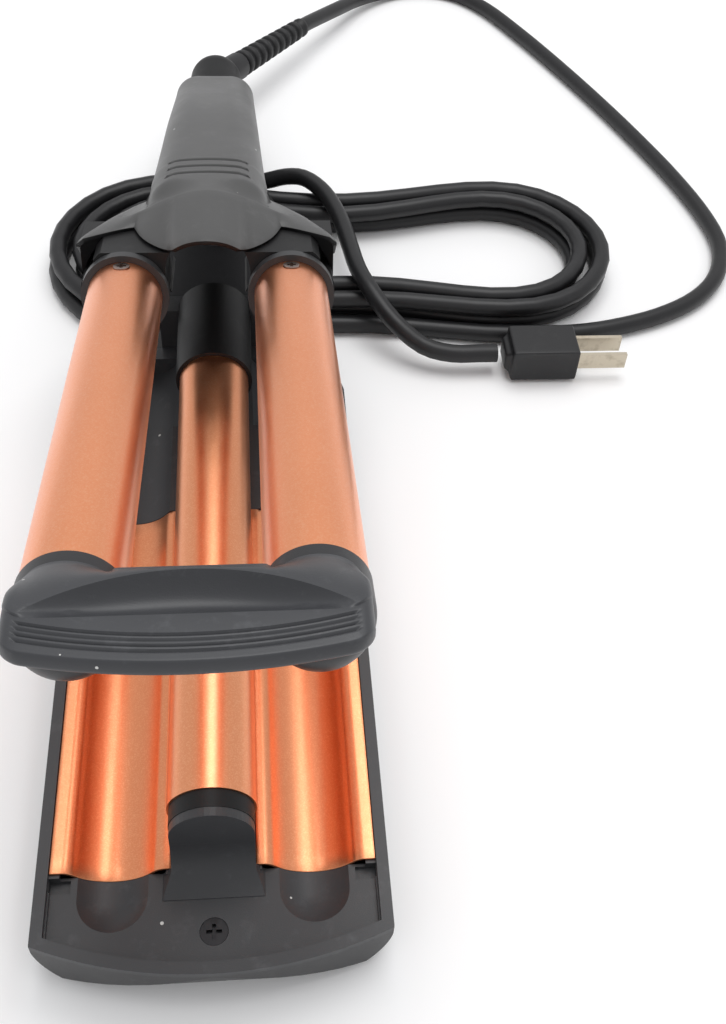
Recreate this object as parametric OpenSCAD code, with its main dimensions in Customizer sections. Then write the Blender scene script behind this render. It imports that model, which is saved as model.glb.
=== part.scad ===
// Deep hair waver with three round barrels, lying open on a table.
// The lower arm holds the tray, two troughs, the middle barrel and the
// electronics; the upper arm holds two barrels and hinges at the far end of
// the handles. Millimetres, +Z up, the tips point along -Y, and the origin is
// the middle of the flat underside of the tray.

/* [Barrels] */
// Outer diameter of each barrel
barrel_d = 21.4; // [21:0.1:21.8]
// Wall of a barrel tube
barrel_wall = 0.8; // [0.6:0.1:1.2]
// Distance between the axes of the two upper barrels
barrel_pitch = 48; // [47.6:0.1:49]
// Visible length of the middle barrel
centre_len = 148; // [140:1:150]
// Visible length of each upper barrel
upper_len = 144; // [138:1:146]
// Height of the middle barrel's axis above the table
centre_z = 28; // [27.5:0.1:30]
// How far the closed upper barrels lie below the middle one
closed_drop = 6; // [5.5:0.1:6.5]
// How far a barrel end runs on inside its collar
barrel_insert = 6; // [4:0.5:8]
// Room for hair between an upper barrel and its trough
hair_gap = 1.6; // [1.4:0.1:2]

/* [Tray] */
// Width of the tray over its rim
tray_w = 84; // [83:0.5:88]
// Distance from the origin to the bowed front of the rim
tray_front = 92.5; // [91:0.5:96]
// Radius of the bowed front
bow_r = 108; // [100:1:140]
// Height of the rim above the table
rim_z = 16; // [15.5:0.1:17]
// Width of the rim
rim_w = 2.9; // [2:0.1:3.2]
// Depth of the tip-end floor below the rim
floor_drop = 3; // [2.5:0.1:4]
// Height of the seam between tray frame and lower shell below the rim
seam_drop = 1.8; // [1.2:0.1:2.4]
// Radius that rounds the underside of the tray
hull_r = 13.8; // [8:0.1:14]
// Wall of the lower shell
shell_wall = 2; // [1.6:0.1:2.4]
// Distance from the origin to the trough's front edge
trough_front = 66.5; // [65:0.5:68]
// Length of each trough plate
trough_len = 113.5; // [105:0.5:114]
// Thickness of a trough plate
plate_t = 0.8; // [0.6:0.1:1]
// Distance from the trough's front edge to the middle of its end dish
dish_lead = 5.6; // [4:0.1:7]
// Diameter of the tray screw's head
screw_head_d = 6.6; // [5:0.1:7.5]
// Distance of the tray screw from the bowed front
screw_inset = 11; // [10:0.5:12]

/* [Handles] */
// Width of the handles where they leave the hub
handle_w = 36; // [34:0.5:40]
// Width of the handles at the hinge end
handle_end_w = 29; // [28.5:0.5:31]
// Height of the lower handle's underside above the table
handle_z0 = 14.5; // [14.2:0.1:16]
// Height of the upper handle's top, closed
handle_z1 = 46; // [44:0.5:50]
// Gap between the closed handles
handle_gap = 1; // [0.8:0.1:1.5]
// Wall of the handle shells
handle_wall = 2; // [1.6:0.1:2.4]
// Thickness of the inner covers
cover_t = 2; // [1.6:0.1:2.4]
// Length of the handles from the hub to the hinge axis
handle_len = 121; // [114:1:129]
// Height of the hinge axis above the table
hinge_z = 32; // [31.8:0.1:32.2]
// Diameter of the hinge pin
pin_d = 4; // [3:0.1:4.4]
// Angle of the upper arm when fully open
open_deg = 15; // [5:0.5:18]

/* [Hub] */
// Length of the hub block behind the barrel ends
hub_len = 25; // [23:0.5:26]
// Wall of the hub block around a barrel
hub_wall = 2.2; // [1.8:0.1:2.4]
// Thickness of the hub cover
hub_cover_t = 2.2; // [1.8:0.1:2.6]
// Wall of the collar behind the middle barrel
collar_wall = 1.2; // [1:0.1:1.3]

/* [Cool tip] */
// Width of the bridge across the tips
bridge_w = 66; // [62:0.5:70]
// How far the bridge's lip reaches ahead of the barrel tips
bridge_reach = 36; // [30:0.5:37]
// Length of a round tip cap ahead of its barrel
cap_len = 19; // [17:0.5:20]

/* [Controls] */
// Diameter of the power button
power_d = 9; // [7:0.5:10]
// Diameter of the two heat buttons
heat_d = 7; // [5:0.5:8]
// Distance between neighbouring buttons
button_step = 14; // [12:0.5:18]
// Travel of a button
button_travel = 0.8; // [0.4:0.1:1]
// How far a button stands above the inner cover
button_up = 0.5; // [0.2:0.1:0.6]

/* [Cord] */
// Diameter of the cord
cord_d = 6.4; // [6:0.1:6.5]
// Length of the ribbed cord guard
guard_len = 66; // [50:1:80]
// Diameter of the cord guard at its root
guard_d = 11.4; // [10:0.1:13]
// Half of the hank's length
hank_a = 109; // [104:1:112]
// Half of the hank's width, before it is drawn in at the waist
hank_b = 66; // [64:1:70]

/* [Hidden] */
$fn = 96;

copper = [0.86, 0.50, 0.34];
plastic = [0.20, 0.20, 0.21];
greyplastic = [0.33, 0.34, 0.36];
black = [0.08, 0.08, 0.09];
steel = [0.75, 0.76, 0.78];

// Clearances: seat between pieces of one arm, slide for buttons, run for the pin
seat = 0.1;
slide = 0.15;
run = 0.05;
big = 400;

barrel_r = barrel_d / 2;
bore_r = barrel_r - barrel_wall;
bx = barrel_pitch / 2;
closed_z = centre_z - closed_drop;
barrel_tip = trough_front - 9.5;
centre_y0 = -barrel_tip - 1;
centre_y1 = centre_y0 + centre_len;
upper_y0 = -barrel_tip;
upper_y1 = upper_y0 + upper_len;
trough_y0 = -trough_front;
trough_y1 = trough_y0 + trough_len;
trough_r = barrel_r + hair_gap;
tray_x = tray_w / 2;
tray_y0 = -tray_front;
floor_z = rim_z - floor_drop;
seam_z = rim_z - seam_drop;
ledge_z = rim_z - 0.5;
hub_y0 = upper_y1;
hub_y1 = hub_y0 + hub_len;
pocket_y1 = hub_y1 + 2;
shoulder_y0 = hub_y1 - 14;
handle_y0 = shoulder_y0 + 28;
hinge_y = handle_y0 + handle_len;
lower_z1 = hinge_z - handle_gap / 2;
upper_z0 = hinge_z + handle_gap / 2;
shell_end = hinge_y + 17;
upper_end = hinge_y + 8;
hub_r = barrel_r + hub_wall;
pocket_r = hub_r + 0.8;
collar_r = barrel_r + collar_wall;
arch_r = collar_r + 0.4;
collar_y1 = handle_y0 - 2;
dish_y = trough_y0 - dish_lead;
screw_y = tray_y0 + screw_inset;
post_y0 = centre_y0 - 4.5;
post_t = 2.3;
post_r = 11;
plug_r = barrel_r - 0.5;

// Sweep a flat (x, z) outline along Y
module along_y(y0, y1) translate([0, y1, 0]) rotate([90, 0, 0]) linear_extrude(y1 - y0) children();
// Sweep a flat (y, z) outline along X
module along_x(x0, x1) translate([x0, 0, 0]) rotate([90, 0, 90]) linear_extrude(x1 - x0) children();
module cyl_y(r, y0, y1, x = 0, z = 0) translate([x, y1, z]) rotate([90, 0, 0]) cylinder(r = r, h = y1 - y0);
module cyl_x(r, x0, x1, y = 0, z = 0) translate([x0, y, z]) rotate([0, 90, 0]) cylinder(r = r, h = x1 - x0);
module box(x0, x1, y0, y1, z0, z1) translate([x0, y0, z0]) cube([x1 - x0, y1 - y0, z1 - z0]);
// The upper arm is drawn closed and turned up about the hinge axis
module opened() translate([0, hinge_y, hinge_z]) rotate([-open_deg, 0, 0]) translate([0, -hinge_y, -hinge_z]) children();

// ---- plan outlines ----
bow_y = tray_y0 + bow_r;
corner_r = 9;
function arc(cx, cy, r, a0, a1, n = 8) = [for (i = [0 : n]) let (a = a0 + (a1 - a0) * i / n) [cx + r * cos(a), cy + r * sin(a)]];
module tray_plan(d) intersection() {
    translate([0, bow_y]) circle(bow_r - d);
    polygon(concat(arc(tray_x - corner_r, tray_y0 + corner_r, corner_r - d, -90, 0), [[tray_x - d, shoulder_y0], [-(tray_x - d), shoulder_y0]],
        arc(-(tray_x - corner_r), tray_y0 + corner_r, corner_r - d, 180, 270)));
}
// Half width of the handles at a given y
function half_w(y) = handle_w / 2 + (handle_end_w - handle_w) / 2 * (y - handle_y0) / (hinge_y - handle_y0);
module shoulder_plan(d) polygon([
    [-(tray_x - d), shoulder_y0 - 0.01], [tray_x - d, shoulder_y0 - 0.01],
    [tray_x - 4 - d, shoulder_y0 + 17], [half_w(handle_y0) + 1 - d, handle_y0 + 2],
    [-(half_w(handle_y0) + 1 - d), handle_y0 + 2], [-(tray_x - 4 - d), shoulder_y0 + 17]]);
module handle_plan(d, y1, r = 6) polygon(concat(
    [[-(half_w(handle_y0) - d), handle_y0 - 1], [half_w(handle_y0) - d, handle_y0 - 1]],
    arc(half_w(y1 - r) - r, y1 - r, r - d, 0, 90), arc(-(half_w(y1 - r) - r), y1 - r, r - d, 90, 180)));
// Cross sections, drawn as (x, z)
module tray_section(d) {
    r = hull_r - d;
    union() {
        translate([-(tray_x - hull_r), d]) square([2 * (tray_x - hull_r), 40]);
        translate([-(tray_x - d), hull_r]) square([2 * (tray_x - d), 40]);
        for (s = [-1, 1]) translate([s * (tray_x - hull_r), hull_r]) circle(r);
    }
}
module front_side(d) union() {
    translate([tray_y0 + hull_r, d]) square([big, 40]);
    translate([tray_y0 + d, hull_r]) square([big, 40]);
    translate([tray_y0 + hull_r, hull_r]) circle(hull_r - d);
}
ramp_y = hub_y1;
module belly_side(d) polygon([[-big, d], [ramp_y, d], [handle_y0 + 4, handle_z0 + d], [big, handle_z0 + d], [big, 80], [-big, 80]]);
module lower_handle_section(d) {
    r = 8 - d;
    union() {
        translate([-(handle_w / 2 - 8), handle_z0 + d]) square([handle_w - 16, 40]);
        translate([-(handle_w / 2 - d), handle_z0 + 8]) square([handle_w - 2 * d, 40]);
        for (s = [-1, 1]) translate([s * (handle_w / 2 - 8), handle_z0 + 8]) circle(r);
    }
}
module upper_handle_section(d) {
    r = 10 - d;
    union() {
        translate([-(handle_w / 2 - 10), 0]) square([handle_w - 20, handle_z1 - d]);
        translate([-(handle_w / 2 - d), 0]) square([handle_w - 2 * d, handle_z1 - 10]);
        for (s = [-1, 1]) translate([s * (handle_w / 2 - 10), handle_z1 - 10]) circle(r);
    }
}
// Side outline of the upper handle's top, drawn as (y, z)
top_fall = 3;
module upper_side(d) polygon(concat([[-big, -20], [-big, handle_z1 - d], [handle_y0 + 70, handle_z1 - d]],
    arc(upper_end - 8, handle_z1 - top_fall - 8, 8 - d, 84, 0), [[upper_end - d, -20]]));

// ---- lower arm ----
module tray_outer(d) intersection() {
    translate([0, 0, d]) linear_extrude(40) tray_plan(d);
    along_y(-big, big) tray_section(d);
    along_x(-60, 60) front_side(d);
}
// Block under the hub where the tray narrows to the handle
module neck_outer(d) intersection() {
    translate([0, 0, d]) linear_extrude(40) shoulder_plan(d);
    along_x(-60, 60) belly_side(d);
    along_y(-big, big) tray_section(d);
}
module handle_outer(d) intersection() {
    linear_extrude(60) handle_plan(d, shell_end);
    along_y(-big, big) lower_handle_section(d);
}
ear_in = 9.3;
ear_w = 2.5;
ear_r = 4.6;
cap_r = 10.5;
cap_z = 23;
cap_y0 = shell_end - handle_wall;
screw_ys = [handle_y0 + 12, hinge_y - 24];
screw_boss_r = 3;
tray_boss_z = 10.4;
tray_screw_len = 8.5;
front_wall_y = handle_y0 - 6;

module lower_shell() color(plastic) difference() {
    union() {
        difference() {
            union() {
                intersection() { tray_outer(0); box(-60, 60, -big, big, -1, seam_z); }
                intersection() { neck_outer(0); box(-60, 60, -big, big, -1, seam_z); }
                intersection() { neck_outer(0); box(-60, 60, front_wall_y, big, -1, rim_z); }
                intersection() { handle_outer(0); box(-60, 60, handle_y0 - 1, big, -1, lower_z1); }
                // wall across the front of the lower handle
                intersection() {
                    linear_extrude(60) union() { shoulder_plan(0); handle_plan(0, shell_end); }
                    box(-handle_w / 2, handle_w / 2, front_wall_y, handle_y0 + 2, seam_z - 1, lower_z1);
                }
            }
            intersection() { tray_outer(shell_wall); box(-60, 60, -big, shoulder_y0 + 0.5, shell_wall, 60); }
            intersection() { neck_outer(shell_wall); box(-60, 60, shoulder_y0 - 0.5, front_wall_y, shell_wall, 60); }
            intersection() {
                handle_outer(handle_wall);
                box(-60, 60, handle_y0 + handle_wall, shell_end - handle_wall, handle_z0 + handle_wall, 60);
            }
        }
        // boss under the tray screw
        translate([0, screw_y, 1]) cylinder(r = 3.6, h = tray_boss_z - 1);
        // bosses for the handle screws
        for (y = screw_ys) translate([0, y, handle_z0 + 1]) cylinder(r = screw_boss_r, h = lower_z1 - cover_t - handle_z0 - 1 - seat);
        // ledge posts that carry the circuit board
        for (x = [-8, 8], y = [board_y0 + 5, board_y1 - 5])
            translate([x, y, handle_z0 + 1]) cylinder(r = 2, h = board_z - handle_z0 - 1);
        // hinge ears
        for (s = [-1, 1]) intersection() {
            union() {
                cyl_x(ear_r, s > 0 ? ear_in : -ear_in - ear_w, s > 0 ? ear_in + ear_w : -ear_in, hinge_y, hinge_z);
                box(s > 0 ? ear_in : -ear_in - ear_w, s > 0 ? ear_in + ear_w : -ear_in,
                    hinge_y - ear_r, hinge_y + ear_r, handle_z0 + 1, hinge_z);
            }
            box(-60, 60, hinge_y - 20, hinge_y + 20, handle_z0 + 1, 60);
        }
    }
    // the rim drops behind the hinge so that the upper handle can turn
    difference() {
        box(-60, 60, hinge_y - 9, big, hinge_z - 2.4, 60);
        for (s = [-1, 1]) box(s > 0 ? ear_in : -ear_in - ear_w, s > 0 ? ear_in + ear_w : -ear_in,
            hinge_y - ear_r, hinge_y + ear_r, hinge_z - 3, 60);
    }
    cyl_x(pin_d / 2 + 0.02, -ear_in - ear_w - 1, ear_in + ear_w + 1, hinge_y, hinge_z);
    // bore for the middle barrel's collar and the wires
    cyl_y(collar_r + seat, front_wall_y - 1, collar_y1 + seat, 0, centre_z);
    cyl_y(6, front_wall_y - 1, handle_y0 + 4, 0, centre_z - 4);
    // hole for the tray screw, and the handle screws from below
    translate([0, screw_y, shell_wall + 1]) cylinder(r = 1.3, h = 20);
    for (y = screw_ys) {
        translate([0, y, handle_z0 - 1]) cylinder(r = 1.6, h = 40);
        translate([0, y, handle_z0 - 1]) cylinder(r = 3.1 - 0.4, h = 3);
    }
    // socket of the rear cap
    cyl_y(cap_r - 3 + seat, cap_y0 - 1, shell_end + 1, 0, cap_z);
}

// Frame that fills the tray's top: rim, tip floor, dishes, post and rear troughs
// Plan of the tray and its shoulders up to a given y
module frame_plan(d, y1) intersection() {
    union() { tray_plan(d); shoulder_plan(d); }
    translate([-60, -big]) square([120, big + y1]);
}
web_x = bx - sqrt(pow(trough_r, 2) - pow(closed_z - ledge_z, 2));
web_o = bx + sqrt(pow(trough_r, 2) - pow(closed_z - ledge_z, 2));
plate_x0 = web_x - 3.4;
plate_x1 = tray_x - rim_w - seat;
// Rounding of the troughs' edges, limited by the ledge beside the rim
edge_h = closed_z - ledge_z;
edge_r = max(0.2, min(4, (pow(plate_x1 - 0.5 - bx, 2) - pow(trough_r, 2) + pow(edge_h, 2)) / (2 * (trough_r - edge_h))));
edge_x = sqrt(pow(trough_r + edge_r, 2) - pow(edge_h + edge_r, 2));
edge_a = asin((edge_h + edge_r) / (trough_r + edge_r));
shelf = 1.5;
module rear_trough(r, y0, y1) for (s = [-1, 1]) cyl_y(r, y0, y1, s * bx, closed_z);
module tray_frame() color(greyplastic) difference() {
    union() {
        // rim
        difference() {
            translate([0, 0, seam_z]) linear_extrude(rim_z - seam_z) frame_plan(0, front_wall_y - seat);
            translate([0, 0, seam_z - 1]) linear_extrude(10) frame_plan(rim_w, pocket_y1);
        }
        // skirt that locates the frame inside the shell
        difference() {
            intersection() {
                union() { tray_outer(shell_wall + seat); neck_outer(shell_wall + seat); }
                box(-60, 60, -big, pocket_y1 + 2, floor_z - 2, seam_z);
            }
            translate([0, 0, floor_z - 3]) linear_extrude(10) frame_plan(rim_w + 0.4, pocket_y1);
        }
        // floor at the tip end
        intersection() {
            tray_outer(shell_wall + seat);
            box(-60, 60, -big, trough_y0 - seat, floor_z - 2, floor_z);
        }
        intersection() {
            union() {
                for (s = [-1, 1]) translate([s * bx, dish_y, closed_z]) sphere(trough_r + 1.6);
                rear_trough(trough_r + 1.6, dish_y, trough_y0 - seat);
            }
            box(-60, 60, tray_y0 + 5, trough_y0 - seat, 5, floor_z);
        }
        // rails under the plates' edges and the web between the troughs
        for (s = [-1, 1]) box(s > 0 ? bx + edge_x + 0.1 : -tray_x + shell_wall + 0.4, s > 0 ? tray_x - shell_wall - 0.4 : -bx - edge_x - 0.1,
            trough_y0 - 1, trough_y1 + 1, ledge_z - plate_t - shelf - 0.3, ledge_z - plate_t);
        box(-bx + edge_x + 0.1, bx - edge_x - 0.1, trough_y0 - 1, trough_y1 + 1, ledge_z - plate_t - shelf - 0.3, ledge_z - plate_t);
        box(-plate_x0 + seat, plate_x0 - seat, trough_y0 - 1, trough_y1 + 1, ledge_z - plate_t - 1, ledge_z);
        // plain troughs behind the plates
        intersection() {
            union() {
                rear_trough(trough_r + 1.6, trough_y1 + seat, hub_y0 - 2);
                rear_trough(pocket_r + 1.6, hub_y0 - 6, pocket_y1 + 1.6);
                box(-tray_x + rim_w - 0.4, tray_x - rim_w + 0.4, trough_y1 + seat, pocket_y1 + 1.6, ledge_z - 1.6, ledge_z);
            }
            box(-tray_x + 2.4, tray_x - 2.4, trough_y1 + seat, pocket_y1 + 1.6, 3, ledge_z);
            union() { tray_outer(shell_wall + seat); neck_outer(shell_wall + seat); }
        }
        // deck behind the pocket
        intersection() {
            neck_outer(shell_wall + seat);
            box(-60, 60, pocket_y1, front_wall_y - seat, ledge_z - 2.5, rim_z);
        }
        // post that carries the middle barrel's tip
        intersection() {
            union() {
                along_y(post_y0 - 12, post_y0) polygon(concat(arc(0, centre_z, plate_x0 - seat, 0, 180, 24),
                    [[-plate_x0 + seat, floor_z - 1], [plate_x0 - seat, floor_z - 1]]));
                along_y(post_y0 - 12, trough_y0 - seat) polygon([[-plate_x0 + 1, floor_z + 5], [-plate_x0 - 0.7, floor_z + 1.8],
                    [-plate_x0 - 2.8, floor_z - 1], [plate_x0 + 2.8, floor_z - 1], [plate_x0 + 0.7, floor_z + 1.8], [plate_x0 - 1, floor_z + 5]]);
            }
            along_x(-20, 20) difference() {
                polygon([[post_y0, floor_z - 2], [post_y0 - 11, floor_z - 2], [post_y0 - 11, floor_z + post_r],
                    [post_y0 - post_t, floor_z + post_r], [post_y0 - post_t, centre_z + plug_r + 1], [post_y0, centre_z + plug_r + 1]]);
                translate([post_y0 - post_t - post_r, floor_z + post_r]) circle(post_r);
            }
        }
        box(-plate_x0 + seat, plate_x0 - seat, post_y0 - 1, trough_y0 + 9, floor_z - 2, ledge_z);
        // saddle under the middle barrel
        box(-4, 4, post_y0, post_y0 + 12, ledge_z - 1, centre_z - barrel_r - seat);
    }
    // hollow dishes and troughs
    for (s = [-1, 1]) translate([s * bx, dish_y, closed_z]) sphere(trough_r);
    rear_trough(trough_r, dish_y, hub_y0);
    rear_trough(pocket_r, hub_y0 - 4.4, pocket_y1);
    // pockets at the outer front corners of the plates
    for (s = [-1, 1]) box(s > 0 ? plate_x1 - 5 : -plate_x1, s > 0 ? plate_x1 : -plate_x1 + 5,
        trough_y0 - 4, trough_y0 - 0.8, floor_z - 1.2, floor_z + 5);
    // room for the middle barrel and its plug
    cyl_y(barrel_r + 0.05, post_y0, collar_y1 + 20, 0, centre_z);
    cyl_y(collar_r + seat, centre_y1 - 0.5, collar_y1 + 20, 0, centre_z);
    // countersunk screw hole
    translate([0, screw_y, 0]) cylinder(r = 1.7, h = 30);
    translate([0, screw_y, floor_z - 1.6]) cylinder(r = screw_head_d / 2 + seat, h = 5);
}

// Pressed sheet: a trough between two rounded edges, drawn as (x, z)
function trough_line(d) = concat([[plate_x0, ledge_z - d]], arc(bx - edge_x, ledge_z - edge_r, edge_r - d, 90, edge_a, 6),
    arc(bx, closed_z, trough_r + d, 180 + edge_a, 360 - edge_a, 24), arc(bx + edge_x, ledge_z - edge_r, edge_r - d, 180 - edge_a, 90, 6),
    [[plate_x1, ledge_z - d]]);
function back(p) = [for (i = [len(p) - 1 : -1 : 0]) p[i]];
module trough_plate(s) color(copper) along_y(trough_y0, trough_y1)
    polygon([for (p = concat(trough_line(0), back(trough_line(plate_t)))) [s * p[0], p[1]]]);
heater_inset = 14;
module trough_heater(s) color([0.8, 0.8, 0.8]) difference() {
    box(s * bx - 7, s * bx + 7, trough_y0 + heater_inset, trough_y1 - heater_inset,
        closed_z - trough_r - plate_t - 3, closed_z - trough_r);
    cyl_y(trough_r + plate_t + 0.15, trough_y0, trough_y1, s * bx, closed_z);
}

// One barrel tube; rear end sits in its collar
module barrel(x, y0, len, z) color(copper) difference() {
    cyl_y(barrel_r, y0, y0 + len + barrel_insert, x, z);
    cyl_y(bore_r, y0 - 1, y0 + len + barrel_insert + 1, x, z);
}
core_inset = 9;
strip_w = 12;
strip_t = 3;
module core(x, y0, len, z) color([0.72, 0.73, 0.75]) difference() {
    cyl_y(bore_r - 0.3, y0 + core_inset, y0 + len, x, z);
    box(x - strip_w / 2 - seat, x + strip_w / 2 + seat, y0, y0 + len + 1, z - strip_t / 2 - seat, z + strip_t / 2 + seat);
    // flats that part the two halves of the clamp
    for (s = [-1, 1]) box(x + (s > 0 ? strip_w / 2 - 1 : -bore_r), x + (s > 0 ? bore_r : -strip_w / 2 + 1),
        y0 + core_inset + 8, y0 + len - 8, z - 0.5, z + 0.5);
}
module heater(x, y0, len, z) color([0.93, 0.92, 0.88])
    box(x - strip_w / 2, x + strip_w / 2, y0 + core_inset + 6, y0 + len - 6, z - strip_t / 2, z + strip_t / 2);

module centre_end_plug() color(black) difference() {
    union() {
        cyl_y(plug_r, post_y0, centre_y0, 0, centre_z);
        cyl_y(bore_r - seat, centre_y0 - 1, centre_y0 + core_inset, 0, centre_z);
    }
    cyl_y(bore_r - 2.5, centre_y0 - 2, centre_y0 + core_inset + 1, 0, centre_z);
}
module centre_collar() color(black) difference() {
    cyl_y(collar_r, centre_y1, collar_y1, 0, centre_z);
    cyl_y(barrel_r + run, centre_y1 - 1, centre_y1 + barrel_insert + run, 0, centre_z);
    cyl_y(bore_r - 1.5, centre_y1, collar_y1 + 1, 0, centre_z);
    // small locating hole on the side
    translate([-collar_r, centre_y1 + 16, centre_z]) rotate([0, 90, 0]) cylinder(r = 1.4, h = 3);
}
module thermal_fuse() color(steel) cyl_y(2.2, centre_y1, centre_y1 + 11, 0, centre_z);

// Countersunk screw with a cross recess; z is the top of the head
module screw(head_d, len, shank = 2.4) {
    difference() {
        union() {
            translate([0, 0, -1.5]) cylinder(r = head_d / 2, h = 1.5);
            translate([0, 0, -len]) cylinder(r = shank / 2, h = len - 1);
        }
        for (a = [0, 90]) rotate([0, 0, a]) translate([-head_d * 0.28, -0.45, -1]) cube([head_d * 0.56, 0.9, 2]);
    }
}
module tray_screw() color(steel) translate([0, screw_y, floor_z - 0.1]) screw(screw_head_d, tray_screw_len);
module handle_screws() color(steel) for (y = screw_ys)
    translate([0, y, handle_z0 + 0.3]) rotate([180, 0, 0]) screw(5, lower_z1 - handle_z0 - 1.5, 2.8);

// ---- controls, on the inner face of the lower handle ----
cover_end = hinge_y - 10;
board_len = 57;
board_w = 23;
board_y0 = screw_ys[0] + 8.5;
board_y1 = board_y0 + board_len;
panel_y = board_y0 + 25.5;
board_t = 1.6;
board_z = lower_z1 - cover_t - 7;
button_xy = [[0, panel_y, power_d], [0, panel_y + button_step, heat_d], [0, panel_y - button_step, heat_d]];
lens_y = panel_y + 1.7 * button_step;
lens_d = 3;
module handle_cover() color(black) difference() {
    union() {
        translate([0, 0, lower_z1 - cover_t]) linear_extrude(cover_t) intersection() {
            handle_plan(handle_wall + seat, shell_end);
            translate([-60, handle_y0 + handle_wall + seat]) square([120, cover_end - handle_y0 - handle_wall - seat]);
        }
        // lip that rests on the circuit board
        for (s = [-1, 1], y = [board_y0 + 10, board_y1 - 10])
            translate([s * 9, y, board_z + board_t + 0.05]) cylinder(r = 1.6, h = lower_z1 - 1 - board_z - board_t);
    }
    for (b = button_xy) translate([b[0], b[1], 0]) cylinder(r = b[2] / 2 + slide, h = 60);
    translate([0, lens_y, 0]) cylinder(r = lens_d / 2 + seat, h = 60);
    for (y = screw_ys) translate([0, y, 0]) cylinder(r = 1.45, h = lower_z1 - 0.7);
}
module button(b) color(greyplastic) {
    translate([b[0], b[1], lower_z1 - cover_t - 1.2]) cylinder(r = b[2] / 2, h = cover_t + 1.2 + button_up);
    // collar that keeps the button in, below the cover by its travel
    translate([b[0], b[1], lower_z1 - cover_t - 1.2]) cylinder(r = b[2] / 2 + 0.9, h = 1);
    translate([b[0], b[1], board_z + board_t + 2 + button_travel + 0.2])
        cylinder(r = 1.6, h = lower_z1 - cover_t - 1 - board_z - board_t - 2 - button_travel - 0.2);
}
module power_button() button(button_xy[0]);
module plus_button() button(button_xy[1]);
module minus_button() button(button_xy[2]);
module indicator_lens() color([0.85, 0.9, 0.95]) translate([0, lens_y, board_z + board_t])
    cylinder(r = lens_d / 2, h = lower_z1 - board_z - board_t + 0.1);
module circuit_board() color([0.10, 0.35, 0.18]) union() {
    box(-board_w / 2, board_w / 2, board_y0, board_y1, board_z, board_z + board_t);
    for (b = button_xy) box(-3, 3, b[1] - 3, b[1] + 3, board_z + board_t - 0.2, board_z + board_t + 2);
    translate([-5, board_y0 + 1.5, board_z + board_t - 0.2]) cube([10, 3.8, 3.6]);
    for (x = [-6, 6]) translate([x, board_y1 - 4.4, board_z + board_t - 0.2]) cylinder(r = 2.6, h = 3.8);
}
wire_r = 0.9;
module heater_wires() color([0.75, 0.12, 0.10]) for (x = [-4, 4])
    cyl_y(wire_r, centre_y1 + 0.05, board_y0 - 0.2, x, centre_z - 3.6);

// ---- hinge ----
knuckle_x0 = -8.7;
knuckle_x1 = 1.6;
spring_r = 3.7;
module hinge_pin() color(steel) cyl_x(pin_d / 2, -ear_in - ear_w, ear_in + ear_w, hinge_y, hinge_z);
module hinge_spring() color(steel) union() {
    difference() {
        cyl_x(spring_r, knuckle_x1 + 0.5, ear_in - 0.4, hinge_y, hinge_z);
        cyl_x(pin_d / 2 + 0.2, knuckle_x1, ear_in, hinge_y, hinge_z);
    }
    // leg that bears on the lower shell's floor
    translate([ear_in - 1.4, hinge_y - spring_r + 0.7, handle_z0 + handle_wall])
        cylinder(r = 0.6, h = hinge_z - handle_z0 - handle_wall);
}
module rear_cap() color(black) difference() {
    union() {
        cyl_y(cap_r, shell_end, shell_end + 14, 0, cap_z);
        translate([0, shell_end + 14, cap_z]) sphere(cap_r);
        cyl_y(cap_r - 3, cap_y0, shell_end + 1, 0, cap_z);
    }
    cyl_y(4.2, cap_y0 - 1, shell_end + 14, 0, cap_z);
    translate(guard_p) guard_aim() translate([0, 0, -1]) cylinder(r = guard_d / 2 + 0.05, h = 40);
}
clamp_y = hinge_y + 6.4;
module cord_clamp() color(black) difference() {
    box(-6, 6, clamp_y, cap_y0 - seat, handle_z0 + handle_wall, cap_z + 3.6);
    cyl_y(cord_d / 2 - 0.6, clamp_y - 1, cap_y0 + 1, 0, cap_z);
}

// ---- cord guard, cord and plug ----
guard_turn = 33;
guard_fall = 6;
guard_p = [0, shell_end + 16, cap_z];
guard_root = 4.5;
function guard_dir() = [sin(guard_turn) * cos(guard_fall), cos(guard_turn) * cos(guard_fall), -sin(guard_fall)];
module guard_aim() rotate([0, 0, -guard_turn]) rotate([-90 - guard_fall, 0, 0]) children();
guard_end = guard_root + guard_len;
guard_tip_d = cord_d + 1.8;
rib_count = 9;
function guard_r(t) = (guard_d + (guard_tip_d - guard_d) * t) / 2;
module cord_guard() color(black) translate(guard_p) guard_aim() difference() {
    union() {
        translate([0, 0, guard_root]) cylinder(r1 = guard_r(0) - 0.9, r2 = guard_r(1) - 0.9, h = guard_len, $fn = 64);
        translate([0, 0, guard_root]) cylinder(r = guard_d / 2, h = 12);
        for (i = [0 : rib_count - 1]) translate([0, 0, guard_root + 15 + i * (guard_len - 18) / rib_count])
            cylinder(r = guard_r((15 + i * (guard_len - 18) / rib_count) / guard_len), h = 3.2);
        translate([0, 0, guard_end - 2.5]) cylinder(r = guard_r(1), h = 2.5);
    }
    translate([0, 0, guard_root - 1]) cylinder(r = cord_d / 2 - 1.2, h = guard_len - 5);
}

cord_z = 3.3;
lay_z = 10.4;
plug_x0 = 98;
plug_y = handle_y0 - 2;
plug_z = 7.6;

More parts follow.
